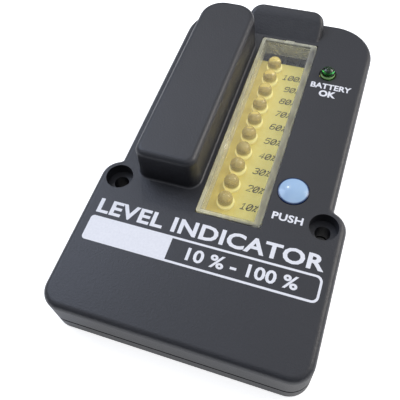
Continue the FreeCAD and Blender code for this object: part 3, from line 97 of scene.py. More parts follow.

case_plastic, tree, coordinates = start_material("moulded_black_abs")
grain = add_node(tree, "ShaderNodeTexNoise", inputs={
    "Vector": coordinates, "Scale": 1 / SATIN_GRAIN, "Detail": 3.0, "Roughness": 0.6})
flow = add_node(tree, "ShaderNodeTexNoise", inputs={
    "Vector": coordinates, "Scale": 1 / FLOW_MARK, "Detail": 2.0, "Roughness": 0.5})
skin = add_node(tree, "ShaderNodeMix", {"data_type": "RGBA"}, {
    0: flow.outputs["Fac"], 6: linear("#212226"), 7: linear("#28292f")})
# the outward direction tells rounded edges from flat faces and upright walls
facing = add_node(tree, "ShaderNodeSeparateXYZ", inputs={
    0: add_node(tree, "ShaderNodeNewGeometry").outputs["Normal"]})
leaving_wall = add_node(tree, "ShaderNodeMapRange", {"interpolation_type": "SMOOTHSTEP"}, {
    "Value": facing.outputs["Z"], "From Min": 0.08, "From Max": 0.45})
reaching_flat = add_node(tree, "ShaderNodeMapRange", {"interpolation_type": "SMOOTHSTEP"}, {
    "Value": facing.outputs["Z"], "From Min": 0.8, "From Max": 0.99, "To Min": 1.0, "To Max": 0.0})
edge = add_node(tree, "ShaderNodeMath", {"operation": "MULTIPLY"}, {
    0: leaving_wall.outputs[0], 1: reaching_flat.outputs[0]})
scuffs = add_node(tree, "ShaderNodeTexNoise", inputs={
    "Vector": coordinates, "Scale": 1 / SCUFF, "Detail": 4.0, "Roughness": 0.7})
polish = add_node(tree, "ShaderNodeMath", {"operation": "MULTIPLY"}, {
    0: edge.outputs[0], 1: scuffs.outputs["Fac"]})
rubbed = add_node(tree, "ShaderNodeMix", {"data_type": "RGBA"}, {
    0: polish.outputs[0], 6: skin.outputs[2], 7: linear("#3d3e42")})
height = add_node(tree, "ShaderNodeSeparateXYZ", inputs={0: coordinates})
# painted shadow: a black band without sheen along the parting line stands in for the shade in the
# groove between the shells, drawn wider than the groove
off_seam = add_node(tree, "ShaderNodeMath", {"operation": "SUBTRACT"}, {
    0: height.outputs["Z"], 1: PARTING_HEIGHT})
from_seam = add_node(tree, "ShaderNodeMath", {"operation": "ABSOLUTE"}, {0: off_seam.outputs[0]})
seam_shadow = add_node(tree, "ShaderNodeMapRange", {"interpolation_type": "SMOOTHSTEP"}, {
    "Value": from_seam.outputs[0], "From Min": SEAM_SHADOW_CORE, "From Max": SEAM_SHADOW_EDGE,
    "To Min": 1.0, "To Max": 0.0})
colour = add_node(tree, "ShaderNodeMix", {"data_type": "RGBA"}, {
    0: seam_shadow.outputs[0], 6: rubbed.outputs[2], 7: linear("#020203")})
satin = add_node(tree, "ShaderNodeMapRange", inputs={
    "Value": polish.outputs[0], "To Min": 0.44, "To Max": 0.3})
relief = add_node(tree, "ShaderNodeBump", inputs={
    "Strength": 0.9, "Distance": GRAIN_DEPTH, "Height": grain.outputs["Fac"]})
sheen = add_node(tree, "ShaderNodeMapRange", inputs={
    "Value": seam_shadow.outputs[0], "To Min": 0.5, "To Max": 0.0})
show(tree, add_node(tree, "ShaderNodeBsdfPrincipled", inputs={
    "Base Color": colour.outputs[2], "Roughness": satin.outputs[0], "IOR": 1.54,
    "Specular IOR Level": sheen.outputs[0], "Normal": relief.outputs[0]}))
dress(case_plastic, "front_housing", "back_cover")


# Clear window
# One moulded box of clear polystyrene, open at the back and held by a flange behind the front
# wall. Its face is polished, with faint haze and hairlines. Its deep walls are left matt by the
# tool, so that they look milky in patches, and they are painted paler and less clear towards the
# left and at the far end, as painted light that stands in for the board's light in the walls.

WINDOW_FLANGE = 0.00055
WINDOW_WALL = 0.0013
RIGHT_MARGIN = 0.0028         # the right wall has the most draft, so it is thicker at its foot
WALL_FADE = 0.0001            # how softly the matt walls begin
FAR_END_GLOW_START = 0.004            # the painted glow at the far end begins this far from it
FAR_END_GLOW_FULL = 0.001       # and is full this far from it
HAZE = 0.004                  # patches where the face is slightly worn
HAIRLINE = 0.0006             # drawn many times as wide as real so that they show
MILK_PATCH = 0.0018           # cloudy patches in the matt walls


def let_light_in(tree, body, tone):
    """Let the light of the studio pass a clear body straight, toned by it."""
    path = add_node(tree, "ShaderNodeLightPath")
    passing = add_node(tree, "ShaderNodeBsdfTransparent", inputs={"Color": linear(tone)})
    return add_node(tree, "ShaderNodeMixShader", inputs={
        0: path.outputs["Is Shadow Ray"], 1: body.outputs[0], 2: passing.outputs[0]})


clear_plastic, tree, coordinates = start_material("moulded_clear_polystyrene")
haze = add_node(tree, "ShaderNodeTexNoise", inputs={
    "Vector": coordinates, "Scale": 1 / HAZE, "Detail": 5.0, "Roughness": 0.65})
hairline_frame = add_node(tree, "ShaderNodeMapping", inputs={
    "Vector": coordinates, "Rotation": (0.0, 0.0, 0.5), "Scale": (1.0, 0.06, 1.0)})
hairlines = add_node(tree, "ShaderNodeTexNoise", inputs={
    "Vector": hairline_frame.outputs[0], "Scale": 1 / HAIRLINE, "Detail": 2.0})
worn = add_node(tree, "ShaderNodeMath", {"operation": "MULTIPLY"}, {
    0: haze.outputs["Fac"], 1: hairlines.outputs["Fac"]})
gloss = add_node(tree, "ShaderNodeMapRange", inputs={
    "Value": worn.outputs[0], "From Min": 0.1, "From Max": 0.5, "To Min": 0.02, "To Max": 0.07})
window_low, window_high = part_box("window_lens")
wall_masks = []
spot = add_node(tree, "ShaderNodeSeparateXYZ", inputs={0: coordinates})
for axis, name in enumerate("XY"):
    low, high = window_low[axis], window_high[axis]
    centred = add_node(tree, "ShaderNodeMath", {"operation": "SUBTRACT"}, {
        0: spot.outputs[name], 1: (low + high) / 2})
    from_middle = add_node(tree, "ShaderNodeMath", {"operation": "ABSOLUTE"}, {
        0: centred.outputs[0]})
    inner_face = (high - low) / 2 - WINDOW_FLANGE - WINDOW_WALL
    wall_masks.append(add_node(tree, "ShaderNodeMapRange", {"interpolation_type": "SMOOTHSTEP"}, {
        "Value": from_middle.outputs[0], "From Min": inner_face - 2 * WALL_FADE,
        "From Max": inner_face + WALL_FADE}).outputs[0])
either_wall = add_node(tree, "ShaderNodeMath", {"operation": "MAXIMUM"}, {
    0: wall_masks[0], 1: wall_masks[1]})
right_margin = add_node(tree, "ShaderNodeMapRange", {"interpolation_type": "SMOOTHSTEP"}, {
    "Value": spot.outputs["X"], "From Min": window_high[0] - RIGHT_MARGIN - WALL_FADE,
    "From Max": window_high[0] - RIGHT_MARGIN + 2 * WALL_FADE})
in_wall = add_node(tree, "ShaderNodeMath", {"operation": "MAXIMUM"}, {
    0: either_wall.outputs[0], 1: right_margin.outputs[0]})
milk_frame = add_node(tree, "ShaderNodeMapping", inputs={
    "Vector": coordinates, "Scale": (1.0, 0.35, 1.0)})
milk = add_node(tree, "ShaderNodeTexNoise", inputs={
    "Vector": milk_frame.outputs[0], "Scale": 1 / MILK_PATCH, "Detail": 4.0, "Roughness": 0.6})
milk_patches = add_node(tree, "ShaderNodeMapRange", inputs={
    "Value": milk.outputs["Fac"], "From Min": 0.38, "From Max": 0.62})
# painted light: the walls grow paler and less clear towards the left and near the far end, standing
# in for light from the board carried in the walls
painted_left_glow = add_node(tree, "ShaderNodeMapRange", inputs={
    "Value": spot.outputs["X"], "From Min": window_low[0], "From Max": window_high[0],
    "To Min": 0.65, "To Max": 0.0})
painted_far_end_glow = add_node(tree, "ShaderNodeMapRange", inputs={
    "Value": spot.outputs["Y"], "From Min": window_high[1] - FAR_END_GLOW_START,
    "From Max": window_high[1] - FAR_END_GLOW_FULL, "To Min": 0.0, "To Max": 0.6})
painted_wall_glow = add_node(tree, "ShaderNodeMath", {"operation": "MAXIMUM"}, {
    0: painted_left_glow.outputs[0], 1: painted_far_end_glow.outputs[0]})
milk_and_painted_glow = add_node(tree, "ShaderNodeMath", {"operation": "MULTIPLY_ADD"}, {
    0: milk_patches.outputs[0], 1: 0.35, 2: painted_wall_glow.outputs[0]})
milk_and_glow_colour = add_node(tree, "ShaderNodeMix", {"data_type": "RGBA"}, {
    0: milk_and_painted_glow.outputs[0], 6: linear("#98979a"), 7: linear("#f7f6dc")})
window_colour = add_node(tree, "ShaderNodeMix", {"data_type": "RGBA"}, {
    0: in_wall.outputs[0], 6: linear("#ffffff"), 7: milk_and_glow_colour.outputs[2]})
window_gloss = add_node(tree, "ShaderNodeMix", {"data_type": "FLOAT"}, {
    0: in_wall.outputs[0], 2: gloss.outputs[0], 3: 0.28})
wall_clearness = add_node(tree, "ShaderNodeMapRange", inputs={
    "Value": milk_and_painted_glow.outputs[0], "To Min": 0.86, "To Max": 0.5})
clearness = add_node(tree, "ShaderNodeMix", {"data_type": "FLOAT"}, {
    0: in_wall.outputs[0], 2: 1.0, 3: wall_clearness.outputs[0]})
window_body = add_node(tree, "ShaderNodeBsdfPrincipled", inputs={
    "Base Color": window_colour.outputs[2], "Roughness": window_gloss.outputs[0], "IOR": 1.49,
    "Transmission Weight": clearness.outputs[0]})
show(tree, let_light_in(tree, window_body, "#f4f4ec"))
dress(clear_plastic, "window_lens")


# Circuit board and its printed scale
# A paper laminate board with a pale yellow coat, which shows behind the window. The figures
# beside the lamps are drawn on it with one thin olive line, as from a plotter.

BOARD_FIBRE = 0.0018          # cloudy bundles of fibres under the coat
FIBRE_DEPTH = 0.00005

board_coat, tree, coordinates = start_material("coated_paper_laminate")
fibres = add_node(tree, "ShaderNodeTexNoise", inputs={
    "Vector": coordinates, "Scale": 1 / BOARD_FIBRE, "Detail": 4.0, "Roughness": 0.65})
coat = add_node(tree, "ShaderNodeMix", {"data_type": "RGBA"}, {
    0: fibres.outputs["Fac"], 6: linear("#e6d46c"), 7: linear("#f0e58a")})
board_relief = add_node(tree, "ShaderNodeBump", inputs={
    "Strength": 0.3, "Distance": FIBRE_DEPTH, "Height": fibres.outputs["Fac"]})
show(tree, add_node(tree, "ShaderNodeBsdfPrincipled", inputs={
    "Base Color": coat.outputs[2], "Roughness": 0.5, "Normal": board_relief.outputs[0]}))
dress(board_coat, "circuit_board")

FIGURE_STROKES = {
    "0": (((0.15, 0), (0, 0.2), (0, 0.8), (0.15, 1), (0.45, 1), (0.6, 0.8), (0.6, 0.2),
           (0.45, 0), (0.15, 0)), ((0.08, 0.12), (0.52, 0.88))),
    "1": (((0.08, 0.74), (0.34, 1), (0.34, 0)), ((0.08, 0), (0.6, 0))),
    "2": (((0, 0.78), (0.12, 1), (0.48, 1), (0.6, 0.8), (0.6, 0.62), (0, 0), (0.6, 0)),),
    "3": (((0, 0.86), (0.15, 1), (0.45, 1), (0.6, 0.84), (0.6, 0.66), (0.42, 0.52), (0.2, 0.52)),
          ((0.42, 0.52), (0.6, 0.38), (0.6, 0.16), (0.45, 0), (0.15, 0), (0, 0.14))),
    "4": (((0.46, 0), (0.46, 1), (0, 0.3), (0.62, 0.3)),),
    "5": (((0.6, 1), (0.06, 1), (0, 0.56), (0.4, 0.6), (0.6, 0.42), (0.6, 0.18), (0.45, 0),
           (0.12, 0), (0, 0.14)),),
    "6": (((0.56, 0.9), (0.42, 1), (0.15, 1), (0, 0.8), (0, 0.2), (0.15, 0), (0.45, 0),
           (0.6, 0.2), (0.6, 0.38), (0.45, 0.55), (0.15, 0.55), (0, 0.4)),),
    "7": (((0, 1), (0.6, 1), (0.22, 0)),),
    "8": (((0.15, 0.52), (0, 0.68), (0, 0.85), (0.15, 1), (0.45, 1), (0.6, 0.85), (0.6, 0.68),
           (0.45, 0.52), (0.15, 0.52), (0, 0.36), (0, 0.16), (0.15, 0), (0.45, 0), (0.6, 0.16),
           (0.6, 0.36), (0.45, 0.52)),),
    "9": (((0.05, 0.1), (0.18, 0), (0.45, 0), (0.6, 0.2), (0.6, 0.8), (0.45, 1), (0.15, 1),
           (0, 0.8), (0, 0.62), (0.15, 0.46), (0.45, 0.46), (0.6, 0.6)),),
    "%": (((0, 0), (0.4, 1)), ((0, 0.88), (0.08, 0.96), (0.16, 0.88), (0.08, 0.8), (0, 0.88)),
          ((0.26, 0.12), (0.34, 0.2), (0.42, 0.12), (0.34, 0.04), (0.26, 0.12))),
}
FIGURE_HEIGHT = 0.0023
FIGURE_STRETCH = 1.1
FIGURE_SPACING = 0.0021
FIGURE_SLANT = 0.28
PEN_RADIUS = 0.00018
PEN_FLATNESS = 0.1            # share of its height that the line keeps, as ink has hardly any
PEN_LIFT = 0.00002            # middle of the line above the board
INK_MOTTLE = 0.0005           # where the olive ink is a little thinner
# The rows close up towards the full end and lean a little to the right, as in the photograph.
FIGURE_ROWS = (0.0045, 0.0116, 0.0187, 0.0253, 0.0319, 0.0384, 0.0446, 0.0507, 0.0566, 0.0623)
PERCENT_LEFT = 0.0103
PERCENT_LEAN = 0.024

olive_ink, tree, coordinates = start_material("olive_screen_ink")
ink_body = add_node(tree, "ShaderNodeTexNoise", inputs={
    "Vector": coordinates, "Scale": 1 / INK_MOTTLE, "Detail": 2.0})
ink_colour = add_node(tree, "ShaderNodeMix", {"data_type": "RGBA"}, {
    0: ink_body.outputs["Fac"], 6: linear("#3b350f"), 7: linear("#544c1c")})
show(tree, add_node(tree, "ShaderNodeBsdfPrincipled", inputs={
    "Base Color": ink_colour.outputs[2], "Roughness": 0.55}))


def keep_mesh(piece, name):
    """Turn a curve or text into a plain mesh object of the same name."""
    evaluated = piece.evaluated_get(bpy.context.evaluated_depsgraph_get())
    mesh = bpy.data.meshes.new_from_object(evaluated)
    mesh.name = name
    bpy.data.objects.remove(piece)
    solid = bpy.data.objects.new(name, mesh)
    bpy.context.collection.objects.link(solid)
    return solid


def pen_lines(name, strokes, radius):
    """Draw strokes of a round pen through points in metres."""
    curve = bpy.data.curves.new(name, "CURVE")
    curve.dimensions = "3D"
    curve.bevel_depth = radius
    curve.bevel_resolution = 1
    curve.use_fill_caps = True
    for stroke in strokes:
        line = curve.splines.new("POLY")
        line.points.add(len(stroke) - 1)
        for point, (x, y) in zip(line.points, stroke):
            point.co = (x, y, 0, 1)
    pen = bpy.data.objects.new(f"{name}_pen", curve)
    bpy.context.collection.objects.link(pen)
    bpy.context.view_layer.update()
    return keep_mesh(pen, name)


board_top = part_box("circuit_board")[1][2]
figure_strokes = []
for step, middle in enumerate(FIGURE_ROWS):
    text = f"{10 * (step + 1)}%"
    left = PERCENT_LEFT + PERCENT_LEAN * middle - (len(text) - 1) * FIGURE_SPACING
    for place, figure in enumerate(text):
        for stroke in FIGURE_STROKES[figure]:
            figure_strokes.append([
                (left + place * FIGURE_SPACING
                 + FIGURE_HEIGHT * (FIGURE_STRETCH * x + FIGURE_SLANT * (y - 0.5)),
                 middle + FIGURE_HEIGHT * (y - 0.5))
                for x, y in stroke])
scale_figures = pen_lines("scale_figures", figure_strokes, PEN_RADIUS)
for point in scale_figures.data.vertices:
    point.co.z = board_top + PEN_LIFT + PEN_FLATNESS * point.co.z
scale_figures.data.materials.append(olive_ink)
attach(scale_figures, "case")


# Level lamps
# Ten low 5 mm lamps cast in straw tinted epoxy, clearer towards the tip, with a painted highlight
# there and a painted glow at the foot. Inside each one stand two posts and the blunt cone that
# carries the light source, stamped from copper alloy.

LAMP_FIRST = 0.0040           # centre of the lowest lamp
LAMP_STEP = 0.00684
LAMP_FOOT = 0.0100            # just above the flange
LAMP_NECK = 0.0113            # where the painted glow of the foot has faded and the tint is full
LAMP_SHOULDER = 0.0116        # where the tint begins to thin out and the painted highlight to lighten it
LAMP_TIP = 0.0128             # where the tint is thinnest and the painted highlight lightest
LAMP_SWIRL = 0.0012           # uneven tint
CONE_DEPTH_SHARE = 0.7        # depth and top of the cone over its radius
CONE_TOP_SHARE = 0.35
FRAME_LIFT = 0.0004           # foot of the posts above the board
COPPER_MARK = 0.0007          # marks of the stamping

lamp_epoxy, tree, coordinates = start_material("tinted_lamp_epoxy")
swirl = add_node(tree, "ShaderNodeTexNoise", inputs={
    "Vector": coordinates, "Scale": 1 / LAMP_SWIRL, "Detail": 2.0})
tint = add_node(tree, "ShaderNodeMix", {"data_type": "RGBA"}, {
    0: swirl.outputs["Fac"], 6: linear("#c8c070"), 7: linear("#d4cc84")})
# painted glow: the foot of each lamp is pale yellow and glows, standing in for light from the board
# that the lamp gathers
lamp_height = add_node(tree, "ShaderNodeSeparateXYZ", inputs={0: coordinates})
above_foot = add_node(tree, "ShaderNodeMapRange", {"interpolation_type": "SMOOTHSTEP"}, {
    "Value": lamp_height.outputs["Z"], "From Min": LAMP_FOOT, "From Max": LAMP_NECK})
# painted highlight: the dome is painted lighter towards the tip, as well as clearer where the tint
# thins
towards_tip = add_node(tree, "ShaderNodeMapRange", {"interpolation_type": "SMOOTHSTEP"}, {
    "Value": lamp_height.outputs["Z"], "From Min": LAMP_SHOULDER, "From Max": LAMP_TIP})
dome_colour = add_node(tree, "ShaderNodeMix", {"data_type": "RGBA"}, {
    0: towards_tip.outputs[0], 6: tint.outputs[2], 7: linear("#e6dc94")})
lamp_colour = add_node(tree, "ShaderNodeMix", {"data_type": "RGBA"}, {
    0: above_foot.outputs[0], 6: linear("#fff8b4"), 7: dome_colour.outputs[2]})
dome_clearness = add_node(tree, "ShaderNodeMapRange", inputs={
    "Value": towards_tip.outputs[0], "To Min": 0.5, "To Max": 0.7})
clearness = add_node(tree, "ShaderNodeMath", {"operation": "MULTIPLY"}, {
    0: above_foot.outputs[0], 1: dome_clearness.outputs[0]})
painted_foot_glow = add_node(tree, "ShaderNodeMapRange", inputs={
    "Value": above_foot.outputs[0], "To Min": 0.12, "To Max": 0.0})
lamp_body = add_node(tree, "ShaderNodeBsdfPrincipled", inputs={
    "Base Color": lamp_colour.outputs[2], "Roughness": 0.06, "IOR": 1.53,
    "Transmission Weight": clearness.outputs[0], "Emission Color": linear("#fff6b8"),
    "Emission Strength": painted_foot_glow.outputs[0]})
show(tree, let_light_in(tree, lamp_body, "#e8d0a0"))
dress(lamp_epoxy, *[f"level_lamp_{10 * step}" for step in range(1, 11)])

copper_frame, tree, coordinates = start_material("stamped_copper_alloy")
stamp_marks = add_node(tree, "ShaderNodeTexNoise", inputs={
    "Vector": coordinates, "Scale": 1 / COPPER_MARK, "Detail": 3.0})
copper_colour = add_node(tree, "ShaderNodeMix", {"data_type": "RGBA"}, {
    0: stamp_marks.outputs["Fac"], 6: linear("#b09c52"), 7: linear("#c4b068")})
show(tree, add_node(tree, "ShaderNodeBsdfPrincipled", inputs={
    "Base Color": copper_colour.outputs[2], "Metallic": 0.3, "Roughness": 0.45}))


def start_geometry(name, sizes):
    """Start a node tree with named sizes and return it with their sockets."""
    tree = bpy.data.node_groups.new(name, "GeometryNodeTree")
    for size, kind in sizes:
        tree.interface.new_socket(size, in_out="INPUT", socket_type=kind)
    tree.interface.new_socket("Geometry", in_out="OUTPUT", socket_type="NodeSocketGeometry")
    return tree, tree.nodes.new("NodeGroupInput").outputs


def finish_row(tree, points, shapes, material):
    """Set the joined shapes on every point, as real geometry with one material."""
    joined = tree.nodes.new("GeometryNodeJoinGeometry")
    for shape in shapes:
        tree.links.new(shape, joined.inputs[0])
    row = add_node(tree, "GeometryNodeInstanceOnPoints", inputs={
        "Points": points, "Instance": joined.outputs[0]})
    real = add_node(tree, "GeometryNodeRealizeInstances", inputs={0: row.outputs[0]})
    painted = add_node(tree, "GeometryNodeSetMaterial", inputs={
        "Geometry": real.outputs[0], "Material": material})
    add_node(tree, "NodeGroupOutput", inputs={0: painted.outputs[0]})


def grow(name, tree, sizes):
    """Run a tree with its sizes and keep the result as a plain mesh."""
    piece = bpy.data.objects.new(name, bpy.data.meshes.new(f"{name}_seed"))
    bpy.context.collection.objects.link(piece)
    modifier = piece.modifiers.new("row", "NODES")
    modifier.node_group = tree
    for item in tree.interface.items_tree:
        if item.in_out == "INPUT":
            modifier[item.identifier] = sizes[item.name]
    evaluated = piece.evaluated_get(bpy.context.evaluated_depsgraph_get())
    mesh = bpy.data.meshes.new_from_object(evaluated)
    mesh.name = name
    piece.modifiers.remove(modifier)
    piece.data = mesh
    return piece


lamp_low, lamp_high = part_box("level_lamp_10")
lamp_x = (lamp_low[0] + lamp_high[0]) / 2
tree, size = start_geometry("lamp_frames", (
    ("Count", "NodeSocketInt"), ("First", "NodeSocketVector"), ("Step", "NodeSocketVector"),
    ("Cone radius", "NodeSocketFloat"), ("Cone lift", "NodeSocketFloat"),
    ("Lead spacing", "NodeSocketFloat"), ("Post size", "NodeSocketVector")))
row_points = add_node(tree, "GeometryNodeMeshLine", inputs={
    "Count": size["Count"], "Start Location": size["First"], "Offset": size["Step"]})
cone_lift = add_node(tree, "ShaderNodeCombineXYZ", inputs={"Z": size["Cone lift"]})
cone_depth = add_node(tree, "ShaderNodeMath", {"operation": "MULTIPLY"}, {
    0: size["Cone radius"], 1: CONE_DEPTH_SHARE})
cone_top = add_node(tree, "ShaderNodeMath", {"operation": "MULTIPLY"}, {
    0: size["Cone radius"], 1: CONE_TOP_SHARE})
cone = add_node(tree, "GeometryNodeMeshCone", inputs={
    "Vertices": 20, "Radius Top": cone_top.outputs[0], "Radius Bottom": size["Cone radius"],
    "Depth": cone_depth.outputs[0]})
shapes = [add_node(tree, "GeometryNodeTransform", inputs={
    "Geometry": cone.outputs["Mesh"], "Translation": cone_lift.outputs[0]}).outputs[0]]
post = add_node(tree, "GeometryNodeMeshCube", inputs={"Size": size["Post size"]})
post_height = add_node(tree, "ShaderNodeSeparateXYZ", inputs={0: size["Post size"]})
# each post's place over the lead spacing, and its middle over the post's height
for share, lift in ((-0.5, 0.5), (0.5, 0.6)):
    aside = add_node(tree, "ShaderNodeMath", {"operation": "MULTIPLY"}, {
        0: size["Lead spacing"], 1: share})
    raised = add_node(tree, "ShaderNodeMath", {"operation": "MULTIPLY"}, {
        0: post_height.outputs["Z"], 1: lift})
    place = add_node(tree, "ShaderNodeCombineXYZ", inputs={
        "X": aside.outputs[0], "Z": raised.outputs[0]})
    shapes.append(add_node(tree, "GeometryNodeTransform", inputs={
        "Geometry": post.outputs["Mesh"], "Translation": place.outputs[0]}).outputs[0])
finish_row(tree, row_points.outputs[0], shapes, copper_frame)
lamp_frames = grow("lamp_frames", tree, {
    "Count": 10, "First": (lamp_x, LAMP_FIRST, board_top + FRAME_LIFT),
    "Step": (0.0, LAMP_STEP, 0.0), "Cone radius": 0.0018, "Cone lift": 0.0010,
    "Lead spacing": 0.00254, "Post size": (0.0005, 0.0006, 0.0014)})
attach(lamp_frames, "case")


# Battery lamp
# One 5 mm lamp cast in deep green epoxy, whose dome stands out of a plain round hole. It is
# glossy and clear; a pale glowing ring painted at its foot stands in for the light that runs round
# inside it.

RING_HEIGHT = 0.0171          # middle of the painted glow ring, just above the front
RING_CORE = 0.0003            # full this far above and below
RING_EDGE = 0.0006            # and gone this far
GREEN_SWIRL = 0.0018          # uneven tint

green_epoxy, tree, coordinates = start_material("green_lamp_epoxy")
green_swirl = add_node(tree, "ShaderNodeTexNoise", inputs={
    "Vector": coordinates, "Scale": 1 / GREEN_SWIRL, "Detail": 2.0})
green_tint = add_node(tree, "ShaderNodeMix", {"data_type": "RGBA"}, {
    0: green_swirl.outputs["Fac"], 6: linear("#1d6a26"), 7: linear("#3a8f44")})
# painted light: a pale glowing ring just above the case stands in for light that the dome gathers at
# its foot
dome_height = add_node(tree, "ShaderNodeSeparateXYZ", inputs={0: coordinates})
off_ring = add_node(tree, "ShaderNodeMath", {"operation": "SUBTRACT"}, {
    0: dome_height.outputs["Z"], 1: RING_HEIGHT})
from_ring = add_node(tree, "ShaderNodeMath", {"operation": "ABSOLUTE"}, {0: off_ring.outputs[0]})
painted_glow_ring = add_node(tree, "ShaderNodeMapRange", {"interpolation_type": "SMOOTHSTEP"}, {
    "Value": from_ring.outputs[0], "From Min": RING_CORE, "From Max": RING_EDGE,
    "To Min": 0.9, "To Max": 0.0})
green_colour = add_node(tree, "ShaderNodeMix", {"data_type": "RGBA"}, {
    0: painted_glow_ring.outputs[0], 6: green_tint.outputs[2], 7: linear("#b4dc9c")})
painted_ring_glow = add_node(tree, "ShaderNodeMath", {"operation": "MULTIPLY"}, {
    0: painted_glow_ring.outputs[0], 1: 0.2})
green_clearness = add_node(tree, "ShaderNodeMapRange", inputs={
    "Value": painted_glow_ring.outputs[0], "To Min": 0.95, "To Max": 0.1})
show(tree, add_node(tree, "ShaderNodeBsdfPrincipled", inputs={
    "Base Color": green_colour.outputs[2], "Roughness": 0.04, "IOR": 1.53,
    "Transmission Weight": green_clearness.outputs[0], "Emission Color": linear("#a8d890"),
    "Emission Strength": painted_ring_glow.outputs[0]}))
dress(green_epoxy, "battery_lamp")


# Push button
# A low domed cap moulded in light blue polypropylene, with a ring gap about it. Its face is
# smooth and half gloss, with the fine marks that fingertips leave.

TOUCH_MARK = 0.0025           # patches that fingers have touched
RIM_SHADE_START = 0.0042            # radius where the painted shade of the rim begins
RIM_SHADE_FULL = 0.0046

button_plastic, tree, coordinates = start_material("moulded_blue_polypropylene")
touch = add_node(tree, "ShaderNodeTexNoise", inputs={
    "Vector": coordinates, "Scale": 1 / TOUCH_MARK, "Detail": 5.0, "Roughness": 0.7})
cap_colour = add_node(tree, "ShaderNodeMix", {"data_type": "RGBA"}, {
    0: touch.outputs["Fac"], 6: linear("#9ebcda"), 7: linear("#a6c4e2")})
# painted shade: the rim is dark navy, standing in for the shadow in the ring gap about the cap
cap_low, cap_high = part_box("push_button")
cap_centre = [(cap_low[axis] + cap_high[axis]) / 2 for axis in range(2)]
cap_frame = add_node(tree, "ShaderNodeMapping", inputs={
    "Vector": coordinates, "Location": (-cap_centre[0], -cap_centre[1], 0.0),
    "Scale": (1.0, 1.0, 0.0)})
from_axis = add_node(tree, "ShaderNodeVectorMath", {"operation": "LENGTH"}, {
    0: cap_frame.outputs[0]})
painted_rim_shade = add_node(tree, "ShaderNodeMapRange", {"interpolation_type": "SMOOTHSTEP"}, {
    "Value": from_axis.outputs["Value"], "From Min": RIM_SHADE_START, "From Max": RIM_SHADE_FULL})
button_colour = add_node(tree, "ShaderNodeMix", {"data_type": "RGBA"}, {
    0: painted_rim_shade.outputs[0], 6: cap_colour.outputs[2], 7: linear("#1d3460")})
button_gloss = add_node(tree, "ShaderNodeMapRange", inputs={
    "Value": touch.outputs["Fac"], "To Min": 0.1, "To Max": 0.2})
show(tree, add_node(tree, "ShaderNodeBsdfPrincipled", inputs={
    "Base Color": button_colour.outputs[2], "Roughness": button_gloss.outputs[0], "IOR": 1.49,
    "Subsurface Weight": 0.1, "Subsurface Radius": (0.0006, 0.0008, 0.001),
    "Subsurface Scale": 1.0}))
dress(button_plastic, "push_button")


# Print on the front
# White two part ink, pad printed: the title, a plain block and a frame with the range beside
# it, and the words at the button and the battery lamp. The film is thin and a little uneven.

FRONT = 0.0166                # front face of the case
INK_FILM = 0.00002
FILM_MOTTLE = 0.0007          # where the pad has left a little less ink
FILM_DEPTH = 0.00003
CORNER_STEPS = 6              # straight pieces in a quarter turn

white_ink, tree, coordinates = start_material("white_pad_print_ink")
cover = add_node(tree, "ShaderNodeTexNoise", inputs={
    "Vector": coordinates, "Scale": 1 / FILM_MOTTLE, "Detail": 3.0, "Roughness": 0.6})
ink_white = add_node(tree, "ShaderNodeMix", {"data_type": "RGBA"}, {
    0: cover.outputs["Fac"], 6: linear("#dcdde3"), 7: linear("#f0f1f5")})
ink_relief = add_node(tree, "ShaderNodeBump", inputs={
    "Strength": 0.3, "Distance": FILM_DEPTH, "Height": cover.outputs["Fac"]})
show(tree, add_node(tree, "ShaderNodeBsdfPrincipled", inputs={
    "Base Color": ink_white.outputs[2], "Roughness": 0.5, "Normal": ink_relief.outputs[0]}))


def print_on_front(piece):
    """Ink a print and let it ride on the case."""
    piece.data.materials.append(white_ink)
    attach(piece, "case")


def print_word(name, word, left, right, foot, top, weight, spacing=1.0):
    """Print a word that fills the given box on the front, in millimetres."""
    font = bpy.data.curves.new(f"{name}_type", "FONT")
    font.body = word
    font.offset = weight
    font.space_character = spacing
    font.extrude = 0.01       # any depth will do, because the film sets it below
    font.resolution_u = 3
    draft = bpy.data.objects.new(f"{name}_draft", font)
    bpy.context.collection.objects.link(draft)
    bpy.context.view_layer.update()
    piece = keep_mesh(draft, name)
    spots = [point.co for point in piece.data.vertices]
    low = Vector([min(spot[axis] for spot in spots) for axis in range(3)])
    high = Vector([max(spot[axis] for spot in spots) for axis in range(3)])
    for point in piece.data.vertices:
        share = [(point.co[axis] - low[axis]) / (high[axis] - low[axis]) for axis in range(3)]
        point.co = (
            (left + share[0] * (right - left)) / 1000,
            (foot + share[1] * (top - foot)) / 1000,
            FRONT + share[2] * INK_FILM)
    print_on_front(piece)


def print_shape(name, outline, holes=()):
    """Print a flat shape on the front from outlines in millimetres."""
    curve = bpy.data.curves.new(f"{name}_outline", "CURVE")
    curve.dimensions = "2D"
    curve.fill_mode = "BOTH"
    curve.extrude = INK_FILM / 2
    for points in (outline, *holes):
        line = curve.splines.new("POLY")
        line.points.add(len(points) - 1)
        line.use_cyclic_u = True
        for point, (x, y) in zip(line.points, points):
            point.co = (x / 1000, y / 1000, 0, 1)
    draft = bpy.data.objects.new(f"{name}_draft", curve)
    bpy.context.collection.objects.link(draft)
    bpy.context.view_layer.update()
    piece = keep_mesh(draft, name)
    for point in piece.data.vertices:
        point.co.z += FRONT + INK_FILM / 2
    print_on_front(piece)


def rounded(left, right, foot, top, left_radius, right_radius):
    """Points round a rectangle whose two ends have their own corner radius."""
    corners = (
        (left + left_radius, foot + left_radius, left_radius, 180),
        (right - right_radius, foot + right_radius, right_radius, 270),
        (right - right_radius, top - right_radius, right_radius, 0),
        (left + left_radius, top - left_radius, left_radius, 90),
    )
    turn = 90 / CORNER_STEPS
    return [
        (x + radius * math.cos(math.radians(start + turn * step)),
         y + radius * math.sin(math.radians(start + turn * step)))
        for x, y, radius, start in corners
        for step in range(CORNER_STEPS + 1)
    ]


